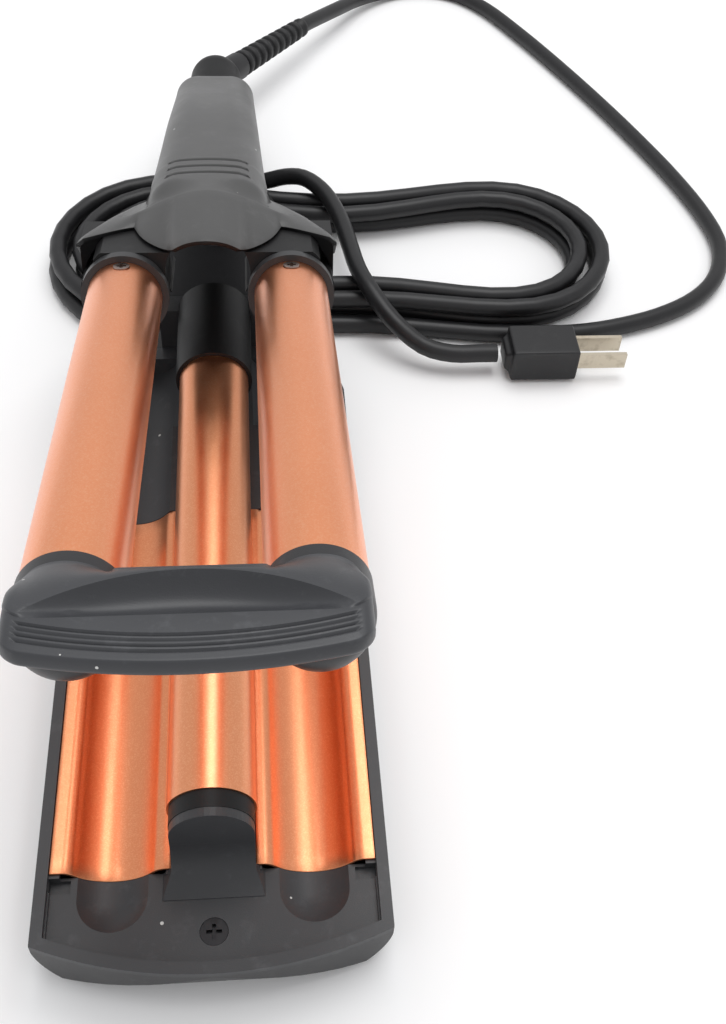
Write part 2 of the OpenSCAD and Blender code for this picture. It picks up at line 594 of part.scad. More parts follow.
// Hank: the loops spiral in on the table, climb, and spiral out on top
hank_loops = 4.5;
hank_c = [46, handle_y0 + 57];
hank_start = -55;
hank_waist = 0.42;
hank_in = 22;
hank_out = 3;
loop_rings = 24;
function hank_off(t) = t < 0.5 ? hank_in * t * 2 : hank_in + (hank_out - hank_in) * (t - 0.5) * 2;
function ease(u) = u <= 0 ? 0 : u >= 1 ? 1 : u * u * (3 - 2 * u);
function hank_h(t) = cord_z + (lay_z - cord_z) * ease((t * hank_loops - hank_loops / 2 + 0.25) / 0.5);
function hank_ang(t) = hank_start - 360 * hank_loops * t;
function hank_pt(t) = let (a = hank_ang(t), s = sin(a)) [hank_c[0] + (hank_a - hank_off(t)) * cos(a),
    hank_c[1] + (hank_b * (1 - hank_waist * pow(s, 4)) - hank_off(t)) * s, hank_h(t)];
function unit(v) = v / norm(v);
function flat(v) = [v[0], v[1], 0];
function hank_dir(t) = t < 0.5 ? unit(flat(hank_pt(0.001) - hank_pt(0))) : unit(flat(hank_pt(1) - hank_pt(0.999)));
// Cord routes: points picked by hand, the cord's middle line
guard_mouth = guard_p + guard_end * guard_dir();
function moved(p) = [for (q = p) q + [0, handle_y0 - 126, 0]];
lead_pts = concat([guard_mouth, guard_mouth + cord_d * guard_dir()],
    moved([[56, 366, 10.4], [68, 384, 6.4], [83, 397, 3.9], [100, 402, 3.3], [117, 397, 3.3], [131, 382, 3.3],
    [145, 355, 3.3], [158, 326, 3.3], [171, 294, 3.3], [182, 264, 3.3], [191, 236, 3.3], [197, 210, 3.3],
    [198, 190, 3.3], [192, 172, 3.3], [180, 158, 3.3], [163, 148, 3.3], [143, 141.5, 3.3], [127, 139, 3.3]]),
    [hank_pt(0) - cord_d * hank_dir(0), hank_pt(0)]);
tail_pts = concat([hank_pt(1), hank_pt(1) + cord_d * hank_dir(1)],
    moved([[1, 223, 10.4], [10, 222, 10.8], [18.5, 221, 12.9], [27, 219.6, 16], [34, 215.8, 17.9], [40, 208.5, 17.9],
    [44, 199, 17.8], [47, 187, 17.7], [49, 173, 17.7], [51, 159, 17.9], [55, 146, 17.7], [62, 135, 13.6], [72, 127, 9],
    [82, 124.2, 7.6]]),
    [[plug_x0 - cord_d, plug_y, plug_z], [plug_x0, plug_y, plug_z]]);
hank_n = hank_loops * loop_rings;
hank_pts = [for (i = [0 : hank_n]) hank_pt(i / hank_n)];

// Catmull-Rom points between the hand-picked ones
function cr(a, b, c, d, u) = 0.5 * ((2 * b) + (c - a) * u + (2 * a - 5 * b + 4 * c - d) * u * u + (3 * b - a - 3 * c + d) * u * u * u);
function smooth(p, k) = let (n = len(p) - 1) concat([for (i = [0 : n - 1], j = [0 : k - 1])
    cr(p[max(i - 1, 0)], p[i], p[i + 1], p[min(i + 2, n)], j / k)], [p[n]]);
function tan_at(p, i, t0, t1) = i == 0 ? t0 : i == len(p) - 1 ? t1 : unit(p[i + 1] - p[i - 1]);
// One closed tube of n sides along the points, its end faces square to t0 and t1
module tube(p, r, n, t0, t1) {
    m = len(p);
    pts = [for (i = [0 : m - 1]) let (t = tan_at(p, i, t0, t1), s = unit(cross(t, [0, 0, 1])), u = cross(s, t))
        for (k = [0 : n - 1]) let (a = 360 * (k + 0.5) / n) p[i] + r * cos(a) * s + r * sin(a) * u];
    sides = [for (i = [0 : m - 2], k = [0 : n - 1], h = [0, 1]) let (k1 = (k + 1) % n)
        h == 0 ? [i * n + k, i * n + k1, (i + 1) * n + k1] : [i * n + k, (i + 1) * n + k1, (i + 1) * n + k]];
    e = (m - 1) * n;
    caps = concat([for (k = [1 : n - 2]) [0, k + 1, k]], [for (k = [1 : n - 2]) [e, e + k, e + k + 1]]);
    polyhedron(points = pts, faces = [for (f = concat(sides, caps)) [f[2], f[1], f[0]]]);
}
lead_line = smooth(lead_pts, 2);
tail_line = tail_pts;
function path_len(p) = len(p) < 2 ? 0 : [for (i = 0, s = 0; i < len(p); s = s + (i < len(p) - 1 ? norm(p[i + 1] - p[i]) : 0), i = i + 1) s][len(p) - 1];
// Least gap between turns: points at least a third of a loop apart
hank_gap = min([for (i = [0 : hank_n - 9], j = [i + 8 : hank_n]) let (d0 = norm(hank_pts[i] - hank_pts[j])) d0]) - cord_d;
function seg_gap(a, b, p) = let (u = b - a, t = max(0, min(1, (p - a) * u / (u * u)))) norm(a + t * u - p);
tail_gap = min([for (i = [3 : len(tail_pts) - 2], j = [0 : hank_n]) seg_gap(tail_pts[i], tail_pts[i + 1], hank_pts[j])]) - cord_d;
echo(str("tail over hank ", tail_gap));
echo(str("hank gap ", hank_gap, " lead ", path_len(lead_line), " hank ", path_len(hank_pts), " tail ", path_len(tail_line)));
module cord_lead() color(black) tube(lead_line, cord_d / 2, 8, guard_dir(), hank_dir(0));
module cord_hank() color(black) tube(hank_pts, cord_d / 2, 6, hank_dir(0), hank_dir(1));
module cord_tail() color(black) tube(tail_line, cord_d / 2, 8, hank_dir(1), [1, 0, 0]);

plug_len = 28;
plug_w = 17;
plug_h = 14;
pin_pitch = 9;
module plug_body() color(black) union() {
    intersection() {
        box(plug_x0, plug_x0 + plug_len, plug_y - plug_w / 2, plug_y + plug_w / 2, plug_z - plug_h / 2, plug_z + plug_h / 2);
        cyl_x(plug_w / 2 + 0.6, plug_x0, plug_x0 + plug_len, plug_y, plug_z);
        translate([plug_x0 + 14, plug_y, 0]) cylinder(r = 16.5, h = 40);
    }
}
module plug_pins() color([0.80, 0.74, 0.60]) for (s = [-1, 1])
    box(plug_x0 + plug_len, plug_x0 + plug_len + 17.5, plug_y + s * pin_pitch / 2 - 0.75, plug_y + s * pin_pitch / 2 + 0.75,
        plug_z - 3, plug_z + 3);

// ---- upper arm, drawn closed ----
module upper_barrel(s) opened() difference() {
    barrel(s * bx, upper_y0, upper_len, closed_z);
    translate([s * bx, rivet_y, closed_z]) cylinder(r = rivet_d / 2 + seat, h = 40);
}
rivet_y = upper_y1 - 6.5;
rivet_d = 4.6;
module upper_core(s) opened() difference() {
    core(s * bx, upper_y0, upper_len, closed_z);
    translate([s * bx, rivet_y, closed_z + strip_t / 2 + 1]) cylinder(r = rivet_d / 2 + seat, h = 40);
}
module upper_heater(s) opened() heater(s * bx, upper_y0, upper_len, closed_z);
module barrel_collar(s) opened() color(greyplastic) difference() {
    cyl_y(barrel_r + hub_wall - 0.3, hub_y0 - 3.4, hub_y0 - seat, s * bx, closed_z);
    cyl_y(barrel_r + run, hub_y0 - 4, hub_y0, s * bx, closed_z);
}
module barrel_screws() opened() color(steel) for (s = [-1, 1]) translate([s * bx, rivet_y, closed_z + barrel_r + 0.25])
    screw(rivet_d, barrel_r - strip_t / 2 - 1.4, 3.2);

hub_x = 37.5;
// Outline of the dome over the hub as (x, z)
module dome_section(d) polygon([[-(hub_x - d), cover_z - 3], [-(hub_x - 0.4 - d), cover_z], [-(hub_x - 1.6 - d), closed_z + 9],
    [-(hub_x - 4.6) + d * 0.7, closed_z + 13 - d * 0.7], [-27.5, hub_shoulder_z - d], [-19, handle_z1 - 3.6 - d],
    [-9, handle_z1 - 0.8 - d], [0, handle_z1 - d], [9, handle_z1 - 0.8 - d], [19, handle_z1 - 3.6 - d], [27.5, hub_shoulder_z - d],
    [hub_x - 4.6 - d * 0.7, closed_z + 13 - d * 0.7], [hub_x - 1.6 - d, closed_z + 9], [hub_x - 0.4 - d, cover_z], [hub_x - d, cover_z - 3]]);
hub_shoulder_z = closed_z + 16.8;
cover_z = closed_z + 4;
module hub_frame() opened() color(black) difference() {
    union() {
        intersection() {
            union() {
                for (s = [-1, 1]) cyl_y(hub_r, hub_y0, hub_y1, s * bx, closed_z);
                box(-bx - 2, bx + 2, hub_y0, hub_y1, closed_z - 1, cover_z);
            }
            box(-60, 60, hub_y0, hub_y1, 0, cover_z - seat);
        }
        intersection() {
            along_y(hub_y0, hub_y1) dome_section(hub_cover_t + seat);
            box(-bx - 8.6, bx + 8.6, hub_y0, hub_y1, cover_z - 2, 80);
            // sloping brow between the collars and the cover
            along_x(-60, 60) polygon([[hub_y0, 0], [hub_y0, closed_z + barrel_r + 1.5],
                [hub_y0 + 12, handle_z1 - 2.6], [hub_y1 + 1, handle_z1 - 2], [hub_y1 + 1, 0]]);
        }
    }
    for (s = [-1, 1]) {
        cyl_y(barrel_r + run, hub_y0 - 1, hub_y0 + barrel_insert + run, s * bx, closed_z);
        cyl_y(bore_r - 1, hub_y0 + 1, hub_y1 + 1, s * bx, closed_z);
    }
    // arch over the middle barrel's collar
    along_y(hub_y0 - 1, hub_y1 + 1) polygon(concat(arc(0, centre_z, arch_r, 0, 180, 24), [[-arch_r, -20], [arch_r, -20]]));
}
// Plan of the hub cover, with its scalloped front edge
module hub_plan(d) polygon(concat([[-hub_x + d, hub_y0 + 9], [-bx - 0.5, hub_y0 + 15.5], [-9.5, hub_y0 - 1.5]],
    arc(0, hub_y0 - 6.95, 10.95, 147, 33, 10), [[9.5, hub_y0 - 1.5], [bx + 0.5, hub_y0 + 15.5], [hub_x - d, hub_y0 + 9],
        [hub_x - d, hub_y1 - 10], [34 - d, hub_y1 + 5], [half_w(handle_y0) + 1 - d, handle_y0 + 2],
        [-(half_w(handle_y0) + 1 - d), handle_y0 + 2], [-(34 - d), hub_y1 + 5], [-(hub_x - d), hub_y1 - 10]]));
cover_seam = handle_y0 + 1;
module hub_cover() opened() color(greyplastic) difference() {
    intersection() {
        linear_extrude(80) hub_plan(0);
        along_y(hub_y0 - 5, cover_seam) dome_section(0);
        box(-60, 60, hub_y0 - 5, cover_seam, cover_z, 80);
    }
    intersection() {
        along_y(hub_y0 - 6, cover_seam + 1) dome_section(hub_cover_t);
        box(-60, 60, hub_y0 - 6, cover_seam + 1, 0, 80);
    }
}

module upper_handle_shell() opened() color(greyplastic) difference() {
    intersection() {
        linear_extrude(80) handle_plan(0, upper_end);
        along_y(cover_seam + seat, upper_end + 1) upper_handle_section(0);
        along_x(-60, 60) upper_side(0);
        box(-60, 60, cover_seam + seat, upper_end + 1, upper_z0, 80);
    }
    intersection() {
        linear_extrude(80) handle_plan(handle_wall, upper_end);
        along_y(cover_seam - 1, upper_end + 1) upper_handle_section(handle_wall);
        along_x(-60, 60) upper_side(handle_wall);
        box(-60, 60, cover_seam + 2, upper_end + 1, 0, 80);
    }
    // wire way into the hub
    along_y(cover_seam - 1, cover_seam + 3) translate([-13, upper_z0 + cover_t + 1]) square([26, 5]);
    // three curved grip grooves across the top
    for (i = [0 : 2]) translate([0, groove_y + 6.2 * i, 0]) rotate_groove();
    // relief for the lower handle's rim behind the hinge
    box(-60, 60, hinge_y + 1, big, 0, upper_z0 + 1.2);
}
groove_y = handle_y0 + 11;
module rotate_groove() translate([0, -34, handle_z1 - 1]) difference() {
    cylinder(r = 35.2, h = 3);
    translate([0, 0, -1]) cylinder(r = 33.6, h = 5);
    translate([-60, -60, -1]) cube([120, 93, 6]);
    for (s = [-1, 1]) translate([s > 0 ? 11.6 : -60, -60, -1]) cube([48.4, 120, 6]);
}
module upper_inner_cover() opened() color(black) difference() {
    union() {
        translate([0, 0, upper_z0]) linear_extrude(cover_t) intersection() {
            handle_plan(handle_wall + seat, upper_end);
            translate([-60, cover_seam + 2 + seat]) square([120, hinge_y - 6 - cover_seam - 2 - seat]);
        }
        // knuckle and the web that carries it
        cyl_x(ear_r, knuckle_x0, knuckle_x1, hinge_y, hinge_z);
        box(knuckle_x0, knuckle_x1, hinge_y - 7, hinge_y, hinge_z, upper_z0 + cover_t + 1);
        // bosses up to the top of the shell
        for (y = upper_screw_ys) translate([0, y, upper_z0 + 0.5]) cylinder(r = 3, h = handle_z1 - handle_wall - upper_z0 - 0.5 - 0.6);
    }
    cyl_x(pin_d / 2 + run, knuckle_x0 - 1, knuckle_x1 + 1, hinge_y, hinge_z);
    for (y = upper_screw_ys) {
        translate([0, y, 0]) cylinder(r = 1.5, h = handle_z1 - handle_wall - 2.4);
        translate([0, y, 0]) cylinder(r = 2.6, h = upper_z0 + 1.7);
    }
}
upper_screw_ys = [handle_y0 + 0.18 * handle_len, handle_y0 + 0.58 * handle_len];
upper_screw_len = 8.6;
module upper_screws() opened() color(steel) for (y = upper_screw_ys)
    translate([0, y, upper_z0 + 0.1]) rotate([180, 0, 0]) screw(5, upper_screw_len, 2.8);
// Round rod from a to b
module rod(a, b, r) translate(a) rotate([0, acos((b[2] - a[2]) / norm(b - a)), atan2(b[1] - a[1], b[0] - a[0])]) cylinder(r = r, h = norm(b - a));
module upper_wires() opened() color([0.75, 0.12, 0.10]) for (s = [-1, 1]) {
    cyl_y(wire_r, upper_y1 + 0.05, hub_y1 + 1, s * bx, closed_z + 2);
    translate([s * bx, hub_y1 + 1, closed_z + 2]) sphere(wire_r);
    rod([s * bx, hub_y1 + 1, closed_z + 2], [s * (bx - 4), hub_y1 + 4, closed_z + 14], wire_r);
    translate([s * (bx - 4), hub_y1 + 4, closed_z + 14]) sphere(wire_r);
    rod([s * (bx - 4), hub_y1 + 4, closed_z + 14], [s * 6, handle_y0 + 5, upper_z0 + cover_t + 4], wire_r);
    translate([s * 6, handle_y0 + 5, upper_z0 + cover_t + 4]) sphere(wire_r);
    rod([s * 6, handle_y0 + 5, upper_z0 + cover_t + 4], [s * 6, handle_y0 + 22, upper_z0 + cover_t + wire_r + 0.05], wire_r);
}

// ---- cool tip ----
bridge_x = bridge_w / 2;
bridge_y0 = upper_y0 - bridge_reach;
lip_r = 160;
tip_back = 8.5;
tip_r = 6;
bridge_y1 = bridge_y0 + bridge_reach - tip_back;
module bridge_plan() intersection() {
    translate([0, bridge_y0 + lip_r]) circle(lip_r);
    polygon(concat(arc(bridge_x - tip_r, bridge_y0 + 2.6 + tip_r, tip_r, -90, 0), arc(bridge_x - tip_r, bridge_y1 - tip_r, tip_r, 0, 90),
        arc(-bridge_x + tip_r, bridge_y1 - tip_r, tip_r, 90, 180), arc(-bridge_x + tip_r, bridge_y0 + 2.6 + tip_r, tip_r, 180, 270),
        [[-12, bridge_y0 - 1], [12, bridge_y0 - 1]]));
}
// Side outline of the bridge as (y, z): flat top, ridge, fine grooves, sloping lip
bridge_top = closed_z + barrel_r + 3.4;
lip_y = bridge_y0 + lip_r;
function lip_pt(y, z) = [lip_r - y, bridge_top + z];
groove_lead = 3.4;
groove_step = 1;
ridge_y = bridge_y0 + 10;
module bridge_turn() translate([0, lip_y, 0]) rotate_extrude() children();
module bridge_body() bridge_turn() polygon(concat([lip_pt(1, -5.5)],
    [for (i = [0 : 3]) let (y = groove_lead + groove_step * i, z = -4.3 + 0.373 * (y - 2.5)) each
        [lip_pt(y, z), lip_pt(y + 0.15, z - 0.45), lip_pt(y + 0.4, z - 0.4), lip_pt(y + 0.55, z + 0.2)]],
    [lip_pt(10, -1.5), lip_pt(10.6, -1.4), lip_pt(10.6, 0), lip_pt(bridge_reach - tip_back + 4, 0),
        lip_pt(bridge_reach - tip_back + 4, -8), lip_pt(23, -8.6), lip_pt(5, -10.1), lip_pt(0.6, -8.9)]));
// Crescent scoop behind the ridge, under the finger
crest_r = 45;
module bridge_scoop() intersection() {
    translate([0, bridge_y0 + 25.5 - crest_r, bridge_top - 5.5]) cylinder(r1 = crest_r - 4, r2 = crest_r + 0.02, h = 5.52);
    bridge_turn() polygon([lip_pt(10, -1.5), lip_pt(13.5, -2.5), lip_pt(17, -4.6), lip_pt(21.5, -5.5), lip_pt(30, -5.5),
        lip_pt(30, 2), lip_pt(10, 2)]);
}
module tip_bridge() opened() color(greyplastic) difference() {
    intersection() {
        linear_extrude(80) bridge_plan();
        bridge_body();
    }
    bridge_scoop();
    // caps pass through from below
    for (s = [-1, 1]) cyl_y(cap_r2 + seat, upper_y0 - cap_len + 0.5, upper_y0 + 1, s * bx, closed_z);
}
cap_r2 = barrel_r + 0.4;
module tip_cap(s) opened() color(black) difference() {
    union() {
        intersection() {
            union() {
                cyl_y(cap_r2, upper_y0 - cap_len + cap_r2, upper_y0 - 0.01, s * bx, closed_z);
                translate([s * bx, upper_y0 - cap_len + cap_r2, closed_z]) sphere(cap_r2);
            }
            box(s * bx - 20, s * bx + 20, upper_y0 - cap_len - 1, upper_y0 - 0.01, 0, bridge_top - 2.4);
        }
        cyl_y(bore_r - seat, upper_y0 - 1, upper_y0 + 8, s * bx, closed_z);
    }
    cyl_y(bore_r - 2.5, upper_y0 - 4, upper_y0 + 9, s * bx, closed_z);
    // slot for the tip screw underneath
    translate([s * bx, tip_screw_y, 0]) cylinder(r = 2.2, h = closed_z - cap_r2 + 3);
    translate([s * bx, tip_screw_y, 0]) cylinder(r = 1.3, h = closed_z - 3);
}
tip_screw_y = upper_y0 - 9;
module tip_screws() opened() color(steel) for (s = [-1, 1])
    translate([s * bx, tip_screw_y, closed_z - cap_r2 + 2.9]) rotate([180, 0, 0]) translate([0, 0, 1.5]) screw(4, 5, 2.2);

lower_shell();
tray_frame();
handle_cover();
trough_plate(-1);  // trough_plate_left
trough_plate(1);  // trough_plate_right
trough_heater(-1);  // trough_heater_left
trough_heater(1);  // trough_heater_right
barrel(0, centre_y0, centre_len, centre_z);  // centre_barrel
core(0, centre_y0, centre_len, centre_z);  // centre_core
heater(0, centre_y0, centre_len, centre_z);  // centre_heater
centre_end_plug();
centre_collar();
tray_screw();
handle_screws();
circuit_board();
power_button();
plus_button();
minus_button();
indicator_lens();
thermal_fuse();
heater_wires();
hinge_pin();
hinge_spring();
rear_cap();
cord_clamp();
cord_guard();
cord_lead();
cord_hank();
cord_tail();
plug_body();
plug_pins();
upper_barrel(-1);  // upper_barrel_left
upper_barrel(1);  // upper_barrel_right
upper_core(-1);  // upper_core_left
upper_core(1);  // upper_core_right
upper_heater(-1);  // upper_heater_left
upper_heater(1);  // upper_heater_right
barrel_collar(-1);  // barrel_collar_left
barrel_collar(1);  // barrel_collar_right
barrel_screws();
hub_frame();
hub_cover();
upper_handle_shell();
upper_inner_cover();
upper_screws();
tip_bridge();
tip_cap(-1);  // tip_cap_left
tip_cap(1);  // tip_cap_right
tip_screws();
upper_wires();
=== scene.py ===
import math
import bpy
from mathutils import Matrix, Vector


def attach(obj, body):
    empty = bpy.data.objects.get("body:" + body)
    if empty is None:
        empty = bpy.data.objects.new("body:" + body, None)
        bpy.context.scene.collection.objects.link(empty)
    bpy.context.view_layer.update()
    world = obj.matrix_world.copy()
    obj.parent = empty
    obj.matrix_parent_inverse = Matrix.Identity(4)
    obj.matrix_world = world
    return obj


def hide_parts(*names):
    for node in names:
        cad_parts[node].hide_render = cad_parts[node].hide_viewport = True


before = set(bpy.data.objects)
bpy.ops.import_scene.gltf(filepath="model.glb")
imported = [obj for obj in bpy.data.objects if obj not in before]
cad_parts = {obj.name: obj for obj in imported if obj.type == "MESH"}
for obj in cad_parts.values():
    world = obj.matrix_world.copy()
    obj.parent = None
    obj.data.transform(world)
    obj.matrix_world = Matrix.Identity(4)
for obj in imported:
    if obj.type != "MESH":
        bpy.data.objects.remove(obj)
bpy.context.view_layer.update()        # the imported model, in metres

bpy.ops.object.select_all(action="DESELECT")

# ---------------------------------------------------------------- camera
# The photograph looks down on the tips from the front at about 49 degrees,
# from 0.3 m above the table, with the handles far behind. Its place and lens
# follow from the straight edges of the barrels and the tray.
pitch, yaw, roll = math.radians(48.897), math.radians(7.513), math.radians(4.236)
eye = Vector((0.012421, -0.197175, 0.295085))
lens_mm, sensor_mm = 43.19, 36
forward = Vector((math.sin(yaw) * math.cos(pitch), math.cos(yaw) * math.cos(pitch), -math.sin(pitch)))
level_right = Vector((math.cos(yaw), -math.sin(yaw), 0))
level_up = level_right.cross(forward)
cam_right = math.cos(roll) * level_right + math.sin(roll) * level_up
cam_up = -math.sin(roll) * level_right + math.cos(roll) * level_up
camera = bpy.data.objects.new("camera", bpy.data.cameras.new("camera"))
bpy.context.scene.collection.objects.link(camera)
camera.data.lens = lens_mm
camera.data.sensor_width = sensor_mm
camera.data.clip_start = 0.01
camera.matrix_world = Matrix.Translation(eye) @ Matrix((cam_right, cam_up, -forward)).transposed().to_4x4()
bpy.context.scene.camera = camera

# ---------------------------------------------------------------- cord
# A 6.4 mm round mains cord, 2.73 m long, in black rubber: it leaves the ribbed
# guard, sweeps out to the right, is gathered in loops drawn in at the waist
# beneath the handle, and comes out over them to its plug.
cord_d = 0.0064
guard_turn, guard_fall, guard_len = math.radians(33), math.radians(6), 0.066
guard_dir = Vector((math.sin(guard_turn) * math.cos(guard_fall), math.cos(guard_turn) * math.cos(guard_fall),
                    -math.sin(guard_fall)))
guard_base, guard_seat = Vector((0, 0.280, 0.023)), 0.0045
guard_mouth = guard_base + (guard_seat + guard_len) * guard_dir
hank_loops, hank_start, hank_steps = 4.5, -55, 216
hank_x, hank_y, hank_half_x, hank_half_y = 0.046, 0.183, 0.109, 0.066
hank_waist, wound_in, wound_out = 0.42, 0.022, 0.019
layer_low, layer_rise = 0.0033, 0.0071


def hank_point(t):
    """A point on the loops, which wind inwards below and outwards again on top."""
    inward = wound_in * t * 2 if t < 0.5 else wound_in - wound_out * (t - 0.5) * 2
    u = min(1, max(0, (t * hank_loops - hank_loops / 2 + 0.25) / 0.5))
    angle = math.radians(hank_start - 360 * hank_loops * t)
    s = math.sin(angle)
    return Vector((hank_x + (hank_half_x - inward) * math.cos(angle),
                   hank_y + (hank_half_y * (1 - hank_waist * s ** 4) - inward) * s,
                   layer_low + layer_rise * u * u * (3 - 2 * u)))


def level(v):
    return Vector((v.x, v.y, 0)).normalized()


def through(points, steps):
    """A smooth line through points, in so many steps from each to the next."""
    line = []
    for i in range(len(points) - 1):
        a, b = points[max(i - 1, 0)], points[i]
        c, d = points[i + 1], points[min(i + 2, len(points) - 1)]
        for j in range(steps):
            u = j / steps
            line.append(0.5 * (2 * b + (c - a) * u + (2 * a - 5 * b + 4 * c - d) * u ** 2
                               + (3 * b - a - 3 * c + d) * u ** 3))
    return line + [points[-1]]


lead_mm = ((56, 366, 10.4), (68, 384, 6.4), (83, 397, 3.9), (100, 402, 3.3), (117, 397, 3.3),
           (131, 382, 3.3), (145, 355, 3.3), (158, 326, 3.3), (171, 294, 3.3), (182, 264, 3.3),
           (191, 236, 3.3), (197, 210, 3.3), (198, 190, 3.3), (192, 172, 3.3), (180, 158, 3.3),
           (163, 148, 3.3), (143, 141.5, 3.3), (127, 139, 3.3))
tail_mm = ((1, 223, 10.4), (10, 222, 10.8), (18.5, 221, 12.9), (27, 219.6, 16), (34, 215.8, 17.9),
           (40, 208.5, 17.9), (44, 199, 17.8), (47, 187, 17.7), (49, 173, 17.7), (51, 159, 17.9),
           (55, 146, 17.7), (62, 135, 13.6), (72, 127, 9), (82, 124.2, 7.6))
hank_in, hank_out = level(hank_point(0.001) - hank_point(0)), level(hank_point(1) - hank_point(0.999))
plug_start = Vector((0.098, 0.124, 0.0076))
lead_route = [guard_mouth, guard_mouth + cord_d * guard_dir] + [Vector(p) / 1000 for p in lead_mm]
lead_route += [hank_point(0) - cord_d * hank_in, hank_point(0)]
tail_route = [hank_point(1), hank_point(1) + cord_d * hank_out] + [Vector(p) / 1000 for p in tail_mm]
tail_route += [plug_start - Vector((cord_d, 0, 0)), plug_start]
cord_line = through(lead_route, 4)[:-1] + [hank_point(i / hank_steps) for i in range(hank_steps)]
cord_line += through(tail_route, 3)
cord_curve = bpy.data.curves.new("cord", "CURVE")
cord_curve.dimensions = "3D"
cord_curve.bevel_depth = cord_d / 2
cord_curve.bevel_resolution = 5
cord_curve.use_fill_caps = True
spline = cord_curve.splines.new("POLY")
spline.points.add(len(cord_line) - 1)
for point, place in zip(spline.points, cord_line):
    point.co = (*place, 1)
spline.use_smooth = True
cord = bpy.data.objects.new("cord", cord_curve)
bpy.context.scene.collection.objects.link(cord)


def new_group(name, wants):
    """A node group that gives a colour, a roughness and a normal."""
    group = bpy.data.node_groups.new(name, "ShaderNodeTree")
    for label, kind, value in wants:
        socket = group.interface.new_socket(label, in_out="INPUT", socket_type="NodeSocket" + kind)
        socket.default_value = value
    for label, kind in (("Colour", "Color"), ("Roughness", "Float"), ("Normal", "Vector")):
        group.interface.new_socket(label, in_out="OUTPUT", socket_type="NodeSocket" + kind)
    return group, group.nodes.new("NodeGroupInput"), group.nodes.new("NodeGroupOutput")


def add_node(tree, kind, settings=(), **links):
    """Add a node, and give the inputs named, or numbered as in i0, a socket or a value."""
    node = tree.nodes.new("ShaderNode" + kind)
    for label, value in settings:
        setattr(node, label, value)
    for label, source in links.items():
        socket = node.inputs[int(label[1:])] if label[1:].isdigit() else node.inputs[label.replace("_", " ")]
        if isinstance(source, bpy.types.NodeSocket):
            tree.links.new(source, socket)
        else:
            socket.default_value = source
    return node


def maths(tree, operation, a, b=0.0, c=0.0, held=False):
    return add_node(tree, "Math", (("operation", operation), ("use_clamp", held)), i0=a, i1=b, i2=c).outputs[0]


def mixed(tree, factor, a, b):
    return add_node(tree, "Mix", (("data_type", "RGBA"),), i0=factor, i6=a, i7=b).outputs[2]


def dressed(name, group, values, **held):
    """A material whose colour, roughness and normal come from a group; the rest is held on its shader."""
    material = bpy.data.materials.new(name)
    material.use_nodes = True
    tree = material.node_tree
    shader = tree.nodes["Principled BSDF"]
    surface = add_node(tree, "Group", (("node_tree", group),))
    for label, value in values.items():
        surface.inputs[label].default_value = value
    for given, wanted in (("Colour", "Base Color"), ("Roughness", "Roughness"), ("Normal", "Normal")):
        tree.links.new(surface.outputs[given], shader.inputs[wanted])
    for label, value in held.items():
        shader.inputs[label.replace("_", " ")].default_value = value
    return material


# One skin for every rubber and plastic piece: fine spark-eroded grain, a slow
# cloudiness in tone and gloss, rubbed patches, and a little settled lint.
lint_white = (0.62, 0.62, 0.60, 1)
skin, skin_in, skin_out = new_group("moulded_skin", (
    ("Colour", "Color", (0.05, 0.05, 0.05, 1)), ("Rubbed Colour", "Color", (0.1, 0.1, 0.1, 1)),
    ("Gloss", "Float", 0.5), ("Grain Size", "Float", 2600.0), ("Grain Depth", "Float", 0.00003),
    ("Lint", "Float", 0.0)))
place = add_node(skin, "TexCoord").outputs["Object"]
grain_size = skin_in.outputs["Grain Size"]
grain = add_node(skin, "TexNoise", Vector=place, Scale=grain_size, Detail=3.0, Roughness=0.6).outputs[0]
cloud = add_node(skin, "TexNoise", Vector=place, Scale=45.0, Detail=4.0, Roughness=0.55).outputs[0]
rub = add_node(skin, "TexNoise", Vector=place, Scale=170.0, Detail=6.0, Roughness=0.7).outputs[0]
rubbed = add_node(skin, "MapRange", i0=rub, i1=0.56, i2=0.80, i3=0.0, i4=0.7).outputs[0]
lint_cells = add_node(skin, "TexVoronoi", Vector=place, Scale=330.0)
lint_pick = add_node(skin, "SeparateColor", i0=lint_cells.outputs["Color"])
lint_chosen = maths(skin, "GREATER_THAN", lint_pick.outputs[0], 0.982)
lint_reach = maths(skin, "MULTIPLY", lint_pick.outputs[1], 0.16)
lint_speck = maths(skin, "LESS_THAN", lint_cells.outputs["Distance"], lint_reach)
lint = maths(skin, "MULTIPLY", maths(skin, "MULTIPLY", lint_chosen, lint_speck), skin_in.outputs["Lint"])
cloudy = maths(skin, "MULTIPLY_ADD", cloud, 0.45, 0.78)
cloudy_grey = add_node(skin, "CombineColor", i0=cloudy, i1=cloudy, i2=cloudy).outputs[0]
toned = add_node(skin, "Mix", (("data_type", "RGBA"), ("blend_type", "MULTIPLY")), i0=1.0,
                 i6=skin_in.outputs["Colour"], i7=cloudy_grey).outputs[2]
worn = mixed(skin, rubbed, toned, skin_in.outputs["Rubbed Colour"])
skin.links.new(mixed(skin, lint, worn, lint_white), skin_out.inputs["Colour"])
gloss = maths(skin, "ADD", skin_in.outputs["Gloss"], maths(skin, "MULTIPLY_ADD", cloud, 0.24, -0.12))
skin.links.new(maths(skin, "MULTIPLY_ADD", rubbed, -0.10, gloss, True), skin_out.inputs["Roughness"])
bumps = add_node(skin, "Bump", Strength=1.0, Distance=skin_in.outputs["Grain Depth"], Height=grain)
skin.links.new(bumps.outputs[0], skin_out.inputs["Normal"])


